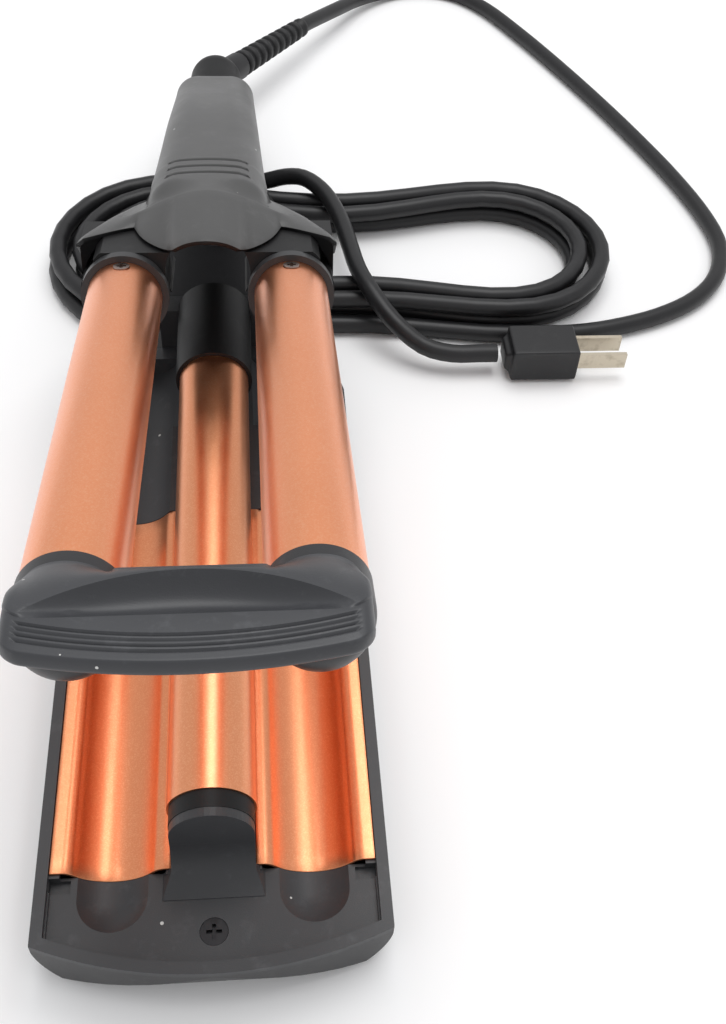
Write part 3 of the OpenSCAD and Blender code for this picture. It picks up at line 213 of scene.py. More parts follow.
def moulded(name, colour, rubbed_colour, gloss, size=2600.0, depth=0.00003, lint=0.0, coating=0.0, shine=0.4):
    """Rubber or plastic, with its grain's cells per metre and its depth in metres."""
    return dressed(name, skin, {"Colour": (*colour, 1), "Rubbed Colour": (*rubbed_colour, 1), "Gloss": gloss,
                                "Grain Size": size, "Grain Depth": depth, "Lint": lint},
                   Coat_Weight=coating, Coat_Roughness=0.35, Specular_IOR_Level=shine)


cord_rubber = moulded("cord_rubber", (0.011, 0.011, 0.012), (0.022, 0.022, 0.024), 0.42, 1800.0, 0.00002)
cord.data.materials.append(cord_rubber)
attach(cord, "lower_arm")
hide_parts("cord_lead", "cord_hank", "cord_tail")

# ---------------------------------------------------------------- cord guard
# The strain relief: one soft tapered moulding on the cord, pushed into the
# rear cap, with nine ribs standing up from a thinner core so that it bends.


def spun(name, outline, start, along):
    """Turn a flat outline of (distance along, radius) into a round piece."""
    mesh = bpy.data.meshes.new(name)
    mesh.from_pydata([(r, 0, a) for a, r in outline], [(i, i + 1) for i in range(len(outline) - 1)], [])
    piece = bpy.data.objects.new(name, mesh)
    bpy.context.scene.collection.objects.link(piece)
    bpy.ops.object.select_all(action="DESELECT")
    piece.select_set(True)
    bpy.context.view_layer.objects.active = piece
    bpy.ops.object.mode_set(mode="EDIT")
    bpy.ops.mesh.select_all(action="SELECT")
    bpy.ops.mesh.spin(steps=48, angle=2 * math.pi, center=(0, 0, 0), axis=(0, 0, 1))
    bpy.ops.mesh.select_all(action="SELECT")
    bpy.ops.mesh.remove_doubles(threshold=0.00002)
    bpy.ops.mesh.normals_make_consistent(inside=False)
    bpy.ops.object.mode_set(mode="OBJECT")
    mesh.transform(Matrix.Translation(start) @ Vector(along).to_track_quat("Z", "Y").to_matrix().to_4x4())
    mesh.polygons.foreach_set("use_smooth", [True] * len(mesh.polygons))
    bpy.ops.object.shade_smooth_by_angle(angle=math.radians(50))
    return piece


guard_ribs, rib_first, ribbed_len = 9, 0.0150, guard_len - 0.018
guard_outline = [(0.0, 0.0), (0.0, 0.0057), (0.0125, 0.0056), (0.0135, 0.0052), (0.0140, 0.0046)]
for rib in range(guard_ribs):
    foot = rib_first + rib * ribbed_len / guard_ribs
    core = 0.0046 - 0.00155 * foot / guard_len
    rise = 0.0057 - 0.0016 * foot / guard_len
    guard_outline += [(foot, core), (foot + 0.0003, rise - 0.0003), (foot + 0.0007, rise),
                      (foot + 0.0025, rise - 0.0001), (foot + 0.0030, rise - 0.0004),
                      (foot + 0.0034, core - 0.0001)]
guard_outline += [(0.0633, 0.0034), (0.0637, 0.0039), (0.0642, 0.0041), (0.0655, 0.0040), (guard_len, 0.0036),
                  (guard_len, 0.0)]
cord_guard = spun("cord_guard_sleeve", guard_outline, guard_base + guard_seat * guard_dir, guard_dir)
guard_rubber = moulded("guard_rubber", (0.012, 0.012, 0.013), (0.03, 0.03, 0.032), 0.5, 1500.0)
cord_guard.data.materials.append(guard_rubber)
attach(cord_guard, "lower_arm")
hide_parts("cord_guard")

# ---------------------------------------------------------------- plug
# A two-pin plug moulded onto the cord: a flat rounded body with finger grips
# on both flanks and a short neck; two flat plated blades leave it.
plug_half_w, plug_half_h, plug_len = 0.0085, 0.0070, 0.028
plug_neck, plug_spare = 0.0022, 0.0012
bpy.ops.object.select_all(action="DESELECT")
bpy.ops.mesh.primitive_cube_add(
    size=1, location=plug_start + Vector((plug_len / 2 + plug_neck, 0, 0)),
    scale=(plug_len - 2 * plug_neck, 2 * plug_half_w - plug_spare, 2 * plug_half_h - plug_spare))
plug = bpy.context.object
plug.name = "plug_shell"
bpy.ops.object.transform_apply(location=True, rotation=True, scale=True)


def pick(piece, wanted):
    """Select the faces that a test on their middle and normal accepts, and open edit mode."""
    bpy.ops.object.mode_set(mode="EDIT")
    bpy.ops.mesh.select_mode(type="FACE")
    bpy.ops.mesh.select_all(action="DESELECT")
    bpy.ops.object.mode_set(mode="OBJECT")
    verts = piece.data.vertices
    for face in piece.data.polygons:
        middle = sum((verts[v].co for v in face.vertices), Vector()) / len(face.vertices)
        if wanted(middle, face.normal):
            face.select = True
    bpy.ops.object.mode_set(mode="EDIT")


def apply_finish(piece, kind, **settings):
    """Put a modifier on a piece and apply it at once."""
    bpy.context.view_layer.objects.active = piece
    finish = piece.modifiers.new(kind.lower(), kind)
    for label, value in settings.items():
        setattr(finish, label, value)
    bpy.ops.object.modifier_apply(modifier=finish.name)


pick(plug, lambda middle, normal: normal.x < -0.9)
bpy.ops.mesh.inset(thickness=plug_neck, depth=0)
bpy.ops.mesh.extrude_region_move(TRANSFORM_OT_translate={"value": (-plug_neck, 0, 0)})
bpy.ops.transform.resize(value=(1, 0.86, 0.86), center_override=plug_start)
bpy.ops.mesh.select_all(action="SELECT")
bpy.ops.mesh.subdivide(number_cuts=1)
grip_from, grip_to = plug_start.x + 0.006, plug_start.x + 0.024
pick(plug, lambda middle, normal: abs(normal.y) > 0.9 and grip_from < middle.x < grip_to)
bpy.ops.mesh.inset(thickness=0.0016, depth=-0.0009)
bpy.ops.object.mode_set(mode="OBJECT")
apply_finish(plug, "BEVEL", width=0.0017, segments=4, limit_method="ANGLE", angle_limit=math.radians(50))
apply_finish(plug, "SUBSURF", levels=1, render_levels=1)
bpy.ops.object.shade_smooth_by_angle(angle=math.radians(50))
plug.data.materials.append(moulded("plug_rubber", (0.012, 0.012, 0.013), (0.03, 0.03, 0.03), 0.45, 2200.0))
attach(plug, "lower_arm")
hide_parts("plug_body")

# Every bare metal piece is drawn, turned or stamped: fine lines along it and a
# patchy tarnish that takes the shine off here and there.
line_depth = 0.000015
drawn, drawn_in, drawn_out = new_group("drawn_metal", (
    ("Colour", "Color", (0.6, 0.6, 0.6, 1)), ("Tarnish", "Color", (0.3, 0.3, 0.3, 1)), ("Gloss", "Float", 0.3),
    ("Stretch", "Vector", (900.0, 60.0, 900.0)), ("Depth", "Float", line_depth)))
place = add_node(drawn, "TexCoord").outputs["Object"]
stretch_by = drawn_in.outputs["Stretch"]
stretched = add_node(drawn, "VectorMath", (("operation", "MULTIPLY"),), i0=place, i1=stretch_by).outputs[0]
lines = add_node(drawn, "TexNoise", Vector=stretched, Scale=1.0, Detail=4.0, Roughness=0.65).outputs[0]
patches = add_node(drawn, "TexNoise", Vector=place, Scale=260.0, Detail=5.0, Roughness=0.6).outputs[0]
tarnished = add_node(drawn, "MapRange", i0=patches, i1=0.50, i2=0.75, i3=0.0, i4=0.8).outputs[0]
drawn.links.new(mixed(drawn, tarnished, drawn_in.outputs["Colour"], drawn_in.outputs["Tarnish"]),
                drawn_out.inputs["Colour"])
lined = maths(drawn, "MULTIPLY_ADD", lines, 0.12, drawn_in.outputs["Gloss"])
drawn.links.new(maths(drawn, "MULTIPLY_ADD", tarnished, 0.22, lined, True), drawn_out.inputs["Roughness"])
drawing = add_node(drawn, "Bump", Strength=1.0, Distance=drawn_in.outputs["Depth"], Height=lines)
drawn.links.new(drawing.outputs[0], drawn_out.inputs["Normal"])


def bare_metal(name, colour, tarnish, gloss, stretch=(900.0, 60.0, 900.0)):
    """Metal whose drawing lines run along the axis with the smallest stretch."""
    return dressed(name, drawn, {"Colour": (*colour, 1), "Tarnish": (*tarnish, 1), "Gloss": gloss,
                                 "Stretch": stretch, "Depth": line_depth}, Metallic=1.0)


def coat(material, *nodes):
    """Give CAD nodes their finish."""
    for node in nodes:
        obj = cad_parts[node]
        if not obj.material_slots:
            obj.data.materials.append(material)
        for slot in obj.material_slots:
            slot.material = material


coat(bare_metal("plug_blades", (0.56, 0.50, 0.40), (0.34, 0.29, 0.22), 0.30, (60.0, 900.0, 900.0)),
     "plug_pins")

# ---------------------------------------------------------------- floor and light
# A white table top under one large soft lamp. The world is a pale grey light
# all round, and white where the camera sees it.
floor_white = bpy.data.materials.new("floor_white")
floor_white.use_nodes = True
floor_white.node_tree.nodes["Principled BSDF"].inputs["Base Color"].default_value = (0.93, 0.93, 0.93, 1)
floor_white.node_tree.nodes["Principled BSDF"].inputs["Roughness"].default_value = 0.6
bpy.ops.mesh.primitive_plane_add(size=8, location=(0, 0.5, 0))
floor = bpy.context.object
floor.name = "floor"
floor.data.materials.append(floor_white)
world = bpy.data.worlds.new("world")
bpy.context.scene.world = world
world.use_nodes = True
seen = add_node(world.node_tree, "LightPath").outputs["Is Camera Ray"]
world.node_tree.links.new(mixed(world.node_tree, seen, (0.74, 0.74, 0.75, 1), (1, 1, 1, 1)),
                          world.node_tree.nodes["Background"].inputs["Color"])
lamp_place, lamp_target, lamp_side, lamp_power = Vector((0.16, 0.34, 1.3)), Vector((0, 0.05, 0)), 0.9, 9.5
lamp = bpy.data.objects.new("top_lamp", bpy.data.lights.new("top_lamp", "AREA"))
lamp.data.shape = "RECTANGLE"
lamp.data.size = lamp_side
lamp.data.size_y = lamp_side
lamp.data.energy = lamp_power
lamp.location = lamp_place
lamp.rotation_euler = (lamp_target - lamp_place).to_track_quat("-Z", "Y").to_euler()
bpy.context.scene.collection.objects.link(lamp)
bpy.context.scene.view_settings.view_transform = "Standard"

# ---------------------------------------------------------------- lower arm's shell and tray
# Two mouldings in dark grey plastic: the shell forms the belly of the tray and
# the lower handle, and the frame drops into it and is held by one screw at the
# tip. Their skins are fine and a little dusty.
casing_grey = moulded("casing_grey", (0.030, 0.0305, 0.032), (0.055, 0.056, 0.058), 0.44, 3000.0, lint=1.0)
coat(casing_grey, "lower_shell")
coat(moulded("tray_grey", (0.042, 0.043, 0.046), (0.078, 0.080, 0.085), 0.42, 3000.0, lint=1.0),
     "tray_frame")

# ---------------------------------------------------------------- trough plates
# Each trough is a 0.8 mm aluminium sheet pressed over a form, with rounded
# shoulders, and coated in the same copper-coloured lacquer as the barrels.
flake_size, flake_tilt = 4200.0, 0.000008
copper, copper_in, copper_out = new_group("copper_lacquer", (
    ("Colour", "Color", (0.7, 0.3, 0.15, 1)), ("Flake Colour", "Color", (0.9, 0.5, 0.3, 1)),
    ("Gloss", "Float", 0.3), ("Flake Size", "Float", flake_size), ("Flake Tilt", "Float", flake_tilt)))
place = add_node(copper, "TexCoord").outputs["Object"]
flakes = add_node(copper, "TexVoronoi", Vector=place, Scale=copper_in.outputs["Flake Size"])
flake = add_node(copper, "SeparateColor", i0=flakes.outputs["Color"])
haze = add_node(copper, "TexNoise", Vector=place, Scale=55.0, Detail=5.0, Roughness=0.6).outputs[0]
ripple = add_node(copper, "TexNoise", Vector=place, Scale=700.0, Detail=2.0, Roughness=0.5).outputs[0]
bright = maths(copper, "MULTIPLY", maths(copper, "POWER", flake.outputs[0], 3.0), 0.6)
flaked = maths(copper, "ADD", bright, maths(copper, "MULTIPLY_ADD", haze, 0.24, -0.12), held=True)
copper.links.new(mixed(copper, flaked, copper_in.outputs["Colour"], copper_in.outputs["Flake Colour"]),
                 copper_out.inputs["Colour"])
haze_gloss = maths(copper, "MULTIPLY_ADD", haze, 0.16, -0.08)
hazed = maths(copper, "ADD", copper_in.outputs["Gloss"], haze_gloss, held=True)
copper.links.new(hazed, copper_out.inputs["Roughness"])
tilt = maths(copper, "ADD", flake.outputs[1], maths(copper, "MULTIPLY", ripple, 0.6))
tilted = add_node(copper, "Bump", Strength=1.0, Distance=copper_in.outputs["Flake Tilt"], Height=tilt)
copper.links.new(tilted.outputs[0], copper_out.inputs["Normal"])


def lacquered(name, colour, flake_colour, gloss):
    """Copper-coloured lacquer with a fine metal flake, under a thin clear coat."""
    return dressed(name, copper, {"Colour": (*colour, 1), "Flake Colour": (*flake_colour, 1), "Gloss": gloss,
                                  "Flake Size": flake_size, "Flake Tilt": flake_tilt},
                   Metallic=1.0, Coat_Weight=0.12, Coat_Roughness=0.12)


def pressed_sheet(name, columns, rows, place):
    """A grid of faces whose points go where place(column, row) says."""
    bpy.ops.object.select_all(action="DESELECT")
    bpy.ops.mesh.primitive_grid_add(x_subdivisions=columns, y_subdivisions=rows, size=1, location=(0, 0, 0))
    sheet = bpy.context.object
    sheet.name = sheet.data.name = name
    for vertex in sheet.data.vertices:
        vertex.co = place(round((vertex.co.x + 0.5) * columns), round((vertex.co.y + 0.5) * rows))
    return sheet


def face_outwards(piece, smooth=40):
    """Turn every face outwards, and shade the bends below an angle smooth."""
    bpy.context.view_layer.objects.active = piece
    bpy.ops.object.mode_set(mode="EDIT")
    bpy.ops.mesh.select_all(action="SELECT")
    bpy.ops.mesh.normals_make_consistent(inside=False)
    bpy.ops.object.mode_set(mode="OBJECT")
    bpy.ops.object.shade_smooth_by_angle(angle=math.radians(smooth))


def face_up(sheet):
    """Make the upper side of an open sheet its outer one."""
    face_outwards(sheet)
    if sum(face.normal.z for face in sheet.data.polygons) < 0:
        sheet.data.flip_normals()


def arc(x, z, radius, start, sweep, steps):
    """Points on an arc, from its start to its end."""
    angles = [start + sweep * i / steps for i in range(steps + 1)]
    return [(x + radius * math.cos(a), z + radius * math.sin(a)) for a in angles]


trough_x, trough_z, trough_r, ledge_z, fold_r = 0.024, 0.022, 0.0123, 0.0155, 0.004
trough_front, trough_len, trough_rows, plate_t = -0.0665, 0.1135, 24, 0.0008
fold_z = ledge_z - fold_r
fold_x = math.sqrt((trough_r + fold_r) ** 2 - (trough_z - fold_z) ** 2)
fold_a = math.asin((trough_z - fold_z) / (trough_r + fold_r))
trough_outline = [(0.01016, ledge_z), (0.0109, ledge_z)]
trough_outline += arc(trough_x - fold_x, fold_z, fold_r, math.pi / 2, fold_a - math.pi / 2, 8)
trough_outline += arc(trough_x, trough_z, trough_r, math.pi + fold_a, math.pi - 2 * fold_a, 32)[1:-1]
trough_outline += arc(trough_x + fold_x, fold_z, fold_r, math.pi - fold_a, fold_a - math.pi / 2, 8)
trough_outline += [(0.0380, ledge_z), (0.0390, ledge_z)]
trough_copper = lacquered("trough_copper", (0.82, 0.30, 0.14), (0.94, 0.44, 0.24), 0.33)
for side, node in ((-1, "trough_plate_left"), (1, "trough_plate_right")):
    plate = pressed_sheet(
        node + "_sheet", len(trough_outline) - 1, trough_rows,
        lambda i, j: (side * trough_outline[i][0], trough_front + trough_len * j / trough_rows,
                      trough_outline[i][1]))
    face_up(plate)
    apply_finish(plate, "SOLIDIFY", thickness=plate_t, offset=-1)
    apply_finish(plate, "BEVEL", width=0.00022, segments=2, limit_method="ANGLE",
                 angle_limit=math.radians(60))
    bpy.ops.object.shade_smooth_by_angle(angle=math.radians(40))
    plate.data.materials.append(trough_copper)
    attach(plate, "lower_arm")
    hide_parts(node)
coat(moulded("ceramic_strip", (0.72, 0.70, 0.66), (0.80, 0.79, 0.76), 0.55, 1200.0, 0.00004),
     "trough_heater_left", "trough_heater_right", "centre_heater", "upper_heater_left", "upper_heater_right")

# ---------------------------------------------------------------- middle barrel
# A drawn tube under the same lacquer stands over the tray between a black
# collar at the hub and a black plug on the post; a split aluminium core with
# a ceramic strip fills it.
coat(lacquered("barrel_copper", (0.84, 0.33, 0.16), (0.95, 0.48, 0.28), 0.32), "centre_barrel")
coat(bare_metal("extruded_core", (0.70, 0.71, 0.73), (0.48, 0.49, 0.51), 0.35),
     "centre_core", "upper_core_left", "upper_core_right")
# This black also colours the upper casing's cut rim, as painted shade.
heat_black_and_rim_shade = moulded("heat_black_and_rim_shade", (0.010, 0.010, 0.0105), (0.018, 0.018, 0.019), 0.48, 2600.0, 0.00002,
                     shine=0.25)
coat(heat_black_and_rim_shade, "centre_end_plug", "centre_collar")

# ---------------------------------------------------------------- screws and steel parts
# Plated screws and turned steel inside the arms, with a blackened screw in the
# tray. The two in the upper barrels are finished with those barrels, below.
coat(bare_metal("plated_steel", (0.56, 0.57, 0.58), (0.34, 0.34, 0.35), 0.30),
     "handle_screws", "upper_screws", "tip_screws", "hinge_pin", "hinge_spring", "thermal_fuse")
coat(bare_metal("blackened_steel", (0.035, 0.035, 0.037), (0.02, 0.02, 0.02), 0.38), "tray_screw")

# ---------------------------------------------------------------- controls and board
# The lower handle's inner face: a matt black cover with three round buttons
# and a small lens, over a lacquered board in green.
coat(moulded("inner_black", (0.020, 0.020, 0.022), (0.04, 0.04, 0.042), 0.58, 1700.0, 0.00005),
     "handle_cover", "upper_inner_cover")
coat(moulded("button_grey", (0.07, 0.07, 0.075), (0.13, 0.13, 0.135), 0.45),
     "power_button", "plus_button", "minus_button")
coat(moulded("lens_clear", (0.66, 0.72, 0.78), (0.76, 0.80, 0.84), 0.18, 800.0, 0.00001, coating=0.6),
     "indicator_lens")
coat(moulded("board_green", (0.016, 0.12, 0.045), (0.05, 0.17, 0.08), 0.35, 900.0, coating=0.4),
     "circuit_board")
coat(moulded("wire_red", (0.36, 0.03, 0.025), (0.48, 0.07, 0.06), 0.45, 1500.0),
     "heater_wires", "upper_wires")

# ---------------------------------------------------------------- rear cap and cord clamp
# The black end piece that closes both handles and holds the guard, and the
# block inside it that grips the cord.
coat(heat_black_and_rim_shade, "rear_cap", "cord_clamp")

# ---------------------------------------------------------------- upper barrels and their collars
# Two lacquered tubes hang from the upper arm, each pinned by one screw in its
# top and seated in a grey ring at the hub.
barrel_x, barrel_z = 24, 22        # of their axes when shut, in millimetres
# Their lacquer is a lighter copy of the middle barrel's: painted light, standing in for the brighter light on
# the upper barrels.
coat(lacquered("upper_copper_painted_lit", (0.94, 0.36, 0.175), (0.98, 0.50, 0.30), 0.32),
     "upper_barrel_left", "upper_barrel_right")
coat(casing_grey, "barrel_collar_left", "barrel_collar_right")
coat(bare_metal("barrel_steel", (0.34, 0.27, 0.24), (0.12, 0.07, 0.05), 0.22), "barrel_screws")

# ---------------------------------------------------------------- upper casing
# One dark grey skin, 1.2 mm thick, from the scalloped brow over the barrels,
# across a domed shield with a crease behind it, along the handle with three
# curved grip grooves, to the rounded rear end.
hinge, open_angle = Vector((0, 0.247, 0.032)), math.radians(-15)
raise_arm = Matrix.Translation(hinge) @ Matrix.Rotation(open_angle, 4, "X") @ Matrix.Translation(-hinge)


def on_arm(x, y, z):
    """Where a point drawn in millimetres on the shut upper arm goes when the arm is raised."""
    return raise_arm @ (Vector((x, y, z)) / 1000)


def between(table, x):
    """Read a table of (place, value) pairs, smoothly between its entries."""
    if x <= table[0][0]:
        return table[0][1]
    for k in range(len(table) - 1):
        (x0, y0), (x1, y1) = table[k], table[k + 1]
        if x <= x1:
            before = table[max(k - 1, 0)]
            after = table[min(k + 2, len(table) - 1)]
            m0 = (y1 - before[1]) / (x1 - before[0])
            m1 = (after[1] - y0) / (after[0] - x0)
            h, t = x1 - x0, (x - x0) / (x1 - x0)
            return ((2 * t ** 3 - 3 * t ** 2 + 1) * y0 + (t ** 3 - 2 * t ** 2 + t) * h * m0
                    + (3 * t ** 2 - 2 * t ** 3) * y1 + (t ** 3 - t ** 2) * h * m1)
    return table[-1][1]


def eased(t):
    """Go smoothly from 0 to 1, and stay there."""
    t = min(1.0, max(0.0, t))
    return t * t * (3 - 2 * t)


def rounding(past, radius):
    """How far a rounded corner has drawn in, at so far past its start."""
    return radius - math.sqrt(max(0, radius ** 2 - max(0, past) ** 2))


# half-widths along the arm at the top and at the foot, and the scalloped edge
# from the middle to the side, all in millimetres on the shut arm
casing_half = [(84, 37.9), (94, 37.8), (100, 36.4), (107, 33.2), (114, 29.6), (120, 26.0), (125, 22.4),
               (128.5, 19.4), (131, 18.2), (136, 17.9), (160, 17.1), (200, 16.1), (247, 15.2), (256, 15)]
casing_foot = [(84, 37.9), (104, 37.9), (110, 37.7), (116, 36.4), (121, 33.8), (126, 29.5), (129.5, 24.5),
               (132, 19.6), (134, 18), (160, 17.1), (200, 16.1), (247, 15.2), (256, 15)]
arch_brow = [(0, 92.8), (3, 92.3), (6, 90.6), (8.3, 88.1), (9.6, 86.3)]
barrel_brow = [(9.6, 86.3), (11.2, 86.4), (13, 87.5), (16, 90.8), (19, 95.3), (22, 100.8), (24, 104.2)]
wing_brow = [(24, 104.2), (26.5, 103.2), (30, 100.7), (34, 97.4), (38, 94)]
across = [0, 0.8, 1.6, 2.4, 3.2, 4, 4.8, 5.6, 6.4, 7.2, 8, 8.8, 9.6, 10.8, 12.2, 13.8, 15.4, 17, 18.6, 20.2,
          21.6, 22.8, 24, 25.4, 27, 29, 31, 33, 34.8, 36.3, 37.4, 38]
top_steps, wall_steps, brow_steps, crease_steps = len(across) - 1, 4, 8, 2
bend_from, bend_to, rear_y, rear_corner, rear_round = 107, 137, 255, 4.5, 8
casing_rows = [bend_from + k for k in range(11)] + [118 + 0.25 * k for k in range(76)]
casing_rows += [138 + 2 * k for k in range(6)] + [151 + 6 * k for k in range(16)]
casing_rows += [244, 247, 249, 250.5, 251.8, 252.8, 253.6, 254.2, 254.6, 254.9, rear_y]
rear_last = rear_y - 0.05
brow_z, hub_edge_z, top_z = 35.2, 35, 46
grip_r, grip_half_most, grip_flat = 9.5, 18.2, 0.42
collar_z, collar_room = 28, 13.5
crease_y, crease_bend = 105.2, 0.0058
groove_y, groove_step, groove_bend, groove_half, groove_depth = 122.2, 6.0, 0.0170, 13.5, 1.9


def brow(x):
    return between(arch_brow if x <= 9.6 else barrel_brow if x <= barrel_x else wing_brow, x)


def casing_half_at(y):
    return between(casing_half, y) - rounding(min(y, rear_last) - (rear_y - rear_corner), rear_corner)


def casing_point(i, j):
    """Columns run over the top from foot to foot, and rows from the brow to the rear."""
    k = abs(i - top_steps - wall_steps)
    side = 1 if i >= top_steps + wall_steps else -1
    wall = max(0, k - top_steps) / wall_steps
    plan_x = across[min(k, top_steps)]
    share = plan_x / across[-1]
    # the brow is a hood over the middle barrel's collar, which it clears when shut
    lift = max(0, collar_z + math.sqrt(max(0, collar_room ** 2 - plan_x ** 2)) - brow_z)
    edge, crease = brow(plan_x) - 2.5 * lift, crease_y + crease_bend * plan_x ** 2
    on_handle = j > brow_steps + crease_steps
    if on_handle:
        row = casing_rows[j - brow_steps - crease_steps - 1]
    elif j > brow_steps:
        row = crease + 0.6 * (j - brow_steps)
    else:
        row = edge + (crease - edge) * j / brow_steps
    y = row
    # on the handle, the rows bend from the crease's curve to the grooves' curve and back to straight
    for again in range(3 if on_handle else 1):
        half = casing_half_at(y)
        grip_half = min(half, grip_half_most)
        rear_drop = rounding(min(y, rear_y) - (rear_y - rear_round), rear_round)
        top = top_z - 4.6 * eased((y - 178) / 85) - rear_drop
        foot = 26.2 + 6.3 * eased((y - 127) / 7) + 7.5 * (1 - eased((y - 92) / 14))
        corner = min(grip_r, grip_half - 3, top - foot)
        if share < grip_flat:
            grip_x = share / grip_flat * (grip_half - corner)
        else:
            bend = (share - grip_flat) / (1 - grip_flat) * math.pi / 2
            grip_x = grip_half - corner + corner * math.sin(bend)
        x = half * share + (grip_x - half * share) * eased((y - 119) / 12)
        if on_handle and row < bend_to:
            start = crease_bend * x * x
            turn = eased((row - bend_from) / (11 + max(0, x - groove_half) * 0.85))
            y = row + start + (-groove_bend * min(x, groove_half) ** 2 - start) * turn
        elif on_handle:
            y = row - groove_bend * min(x, groove_half) ** 2 * (1 - eased((row - bend_to) / 14))
    # a low dome over the hub, and the handle's rounded box rising out of it
    dome = (top_z - hub_edge_z) * math.cos(math.pi / 2 * min(1, x / half)) ** 2
    hub_z = hub_edge_z + dome - 0.8 * max(0, x / half * 10 - 9) ** 2
    grip_z = 0 if x > grip_half else top - rounding(x - grip_half + corner, corner)
    handle = eased((y - 127) / 6)
    z = hub_z * (1 - handle) + max(grip_z, foot) * handle
    z = z + max(0, grip_z - z) * eased((y - 106) / 10)
    if j < brow_steps and share < 0.98:
        z = brow_z + lift + (z - brow_z - lift) * (j / brow_steps) ** 0.92
    z = max(z, foot)
    z = z + (foot - z) * wall
    # the wall leans out to the foot beside the barrels
    if y < 136:
        x += max(0, between(casing_foot, y) - x) * math.sin(math.pi / 2 * wall)
    for g in range(3):
        off = abs(y - (groove_y + groove_step * g - groove_bend * x * x))
        z -= groove_depth * (1 - eased((off - 0.45) / 0.75)) * eased((12.4 - x) / 0.8)
    return on_arm(side * x, y, foot if y >= rear_last else z)


casing = pressed_sheet("upper_casing", 2 * (top_steps + wall_steps),
                       brow_steps + crease_steps + len(casing_rows), casing_point)
face_up(casing)
arm_grey = moulded("arm_grey", (0.066, 0.066, 0.0655), (0.10, 0.10, 0.10), 0.42, 3000.0, lint=1.0)
casing.data.materials.append(arm_grey)
# The skin's cut rim, along the brow's front edge and the handle's lower edges, takes the black material:
# painted shade for an edge that sits dark in shadow.
casing.data.materials.append(heat_black_and_rim_shade)
apply_finish(casing, "SOLIDIFY", thickness=0.0012, offset=-1, use_even_offset=False, material_offset_rim=1)
apply_finish(casing, "BEVEL", width=0.0003, segments=2, limit_method="ANGLE",
             angle_limit=math.radians(60))
bpy.ops.object.shade_smooth_by_angle(angle=math.radians(38))
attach(casing, "upper_arm")
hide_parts("hub_cover", "upper_handle_shell")

# ---------------------------------------------------------------- hub frame
# The black moulding behind the barrels, arched over the middle collar. Its
# sockets stop flat under the casing's brow, and a block fills the brow.


def cut_away(piece, cutter):
    """Take a cutter, drawn on the shut arm, away from a piece on the raised one."""
    bpy.ops.object.transform_apply(location=True, rotation=True, scale=True)
    cutter.data.transform(raise_arm)
    apply_finish(piece, "BOOLEAN", object=cutter, operation="DIFFERENCE", solver="EXACT")
    bpy.data.objects.remove(cutter)


def bore(piece, radius, depth, x, y, z):
    """Drill a round hole along the arm, with its middle at a point of the shut arm in millimetres."""
    bpy.ops.object.select_all(action="DESELECT")
    bpy.ops.mesh.primitive_cylinder_add(vertices=64, radius=radius / 1000, depth=depth / 1000,
                                        location=(x / 1000, y / 1000, z / 1000), rotation=(math.pi / 2, 0, 0))
    cut_away(piece, bpy.context.object)


def block_point(i, j):
    """The front row follows the brow from inside, and the rear row is straight."""
    x = across[abs(i - top_steps)]
    y = 112 if j else min(brow(x) + 0.7, 111)
    return on_arm(math.copysign(x * 0.972, i - top_steps), y, block_top)


frame_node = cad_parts["hub_frame"]
sockets = bpy.data.objects.new("barrel_sockets", frame_node.data.copy())
bpy.context.scene.collection.objects.link(sockets)
sockets.data.transform(frame_node.matrix_world)
bpy.ops.object.select_all(action="DESELECT")
bpy.ops.mesh.primitive_cube_add(size=1, location=(0, 0.098, 0.04415), scale=(0.09, 0.034, 0.020))
cut_away(sockets, bpy.context.object)
block_top, block_depth = 34.1, 0.0122
brow_block = pressed_sheet("brow_block", 2 * top_steps, 1, block_point)
block_down = raise_arm.to_3x3() @ Vector((0, 0, -block_depth))
bpy.ops.object.mode_set(mode="EDIT")
bpy.ops.mesh.select_all(action="SELECT")
bpy.ops.mesh.extrude_region_move(TRANSFORM_OT_translate={"value": block_down})
bpy.ops.mesh.select_all(action="SELECT")
bpy.ops.mesh.normals_make_consistent(inside=False)
bpy.ops.object.mode_set(mode="OBJECT")
for side in (-1, 1):
    bore(brow_block, 12.8, 50, side * barrel_x, 100, barrel_z)
bore(brow_block, 12.3, 70, 0, 100, collar_z)
bpy.ops.object.select_all(action="DESELECT")
brow_block.select_set(True)
sockets.select_set(True)
bpy.context.view_layer.objects.active = sockets
bpy.ops.object.join()
sockets.data.materials.clear()
sockets.data.materials.append(heat_black_and_rim_shade)
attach(sockets, "upper_arm")
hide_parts("hub_frame")

# ---------------------------------------------------------------- tip bridge
# The cool grip across both barrel tips, in grey plastic: a crescent scoop for
# the finger, a bowed ridge, four fine grooves and a lip.
bridge_half, bridge_corner, bridge_edge, bridge_steps = 33, 4.5, 2.2, 48
rear_edge, rear_edge_z, cap_r = -65.6, 35.3, 11.15
crest_centre, crest_r, crest_top, crest_last = -112.9, 45, 36.0, -67.9
ridge_y, ridge_top, scoop_depth, scoop_wall = -80.3, 35.5, 5.4, 0.42
lip_y, lip_top, lip_bow, lip_band = -91.3, 34.0, 110, 6.9
line_y, line_step, line_cut = 2.5, 1.2, 0.5


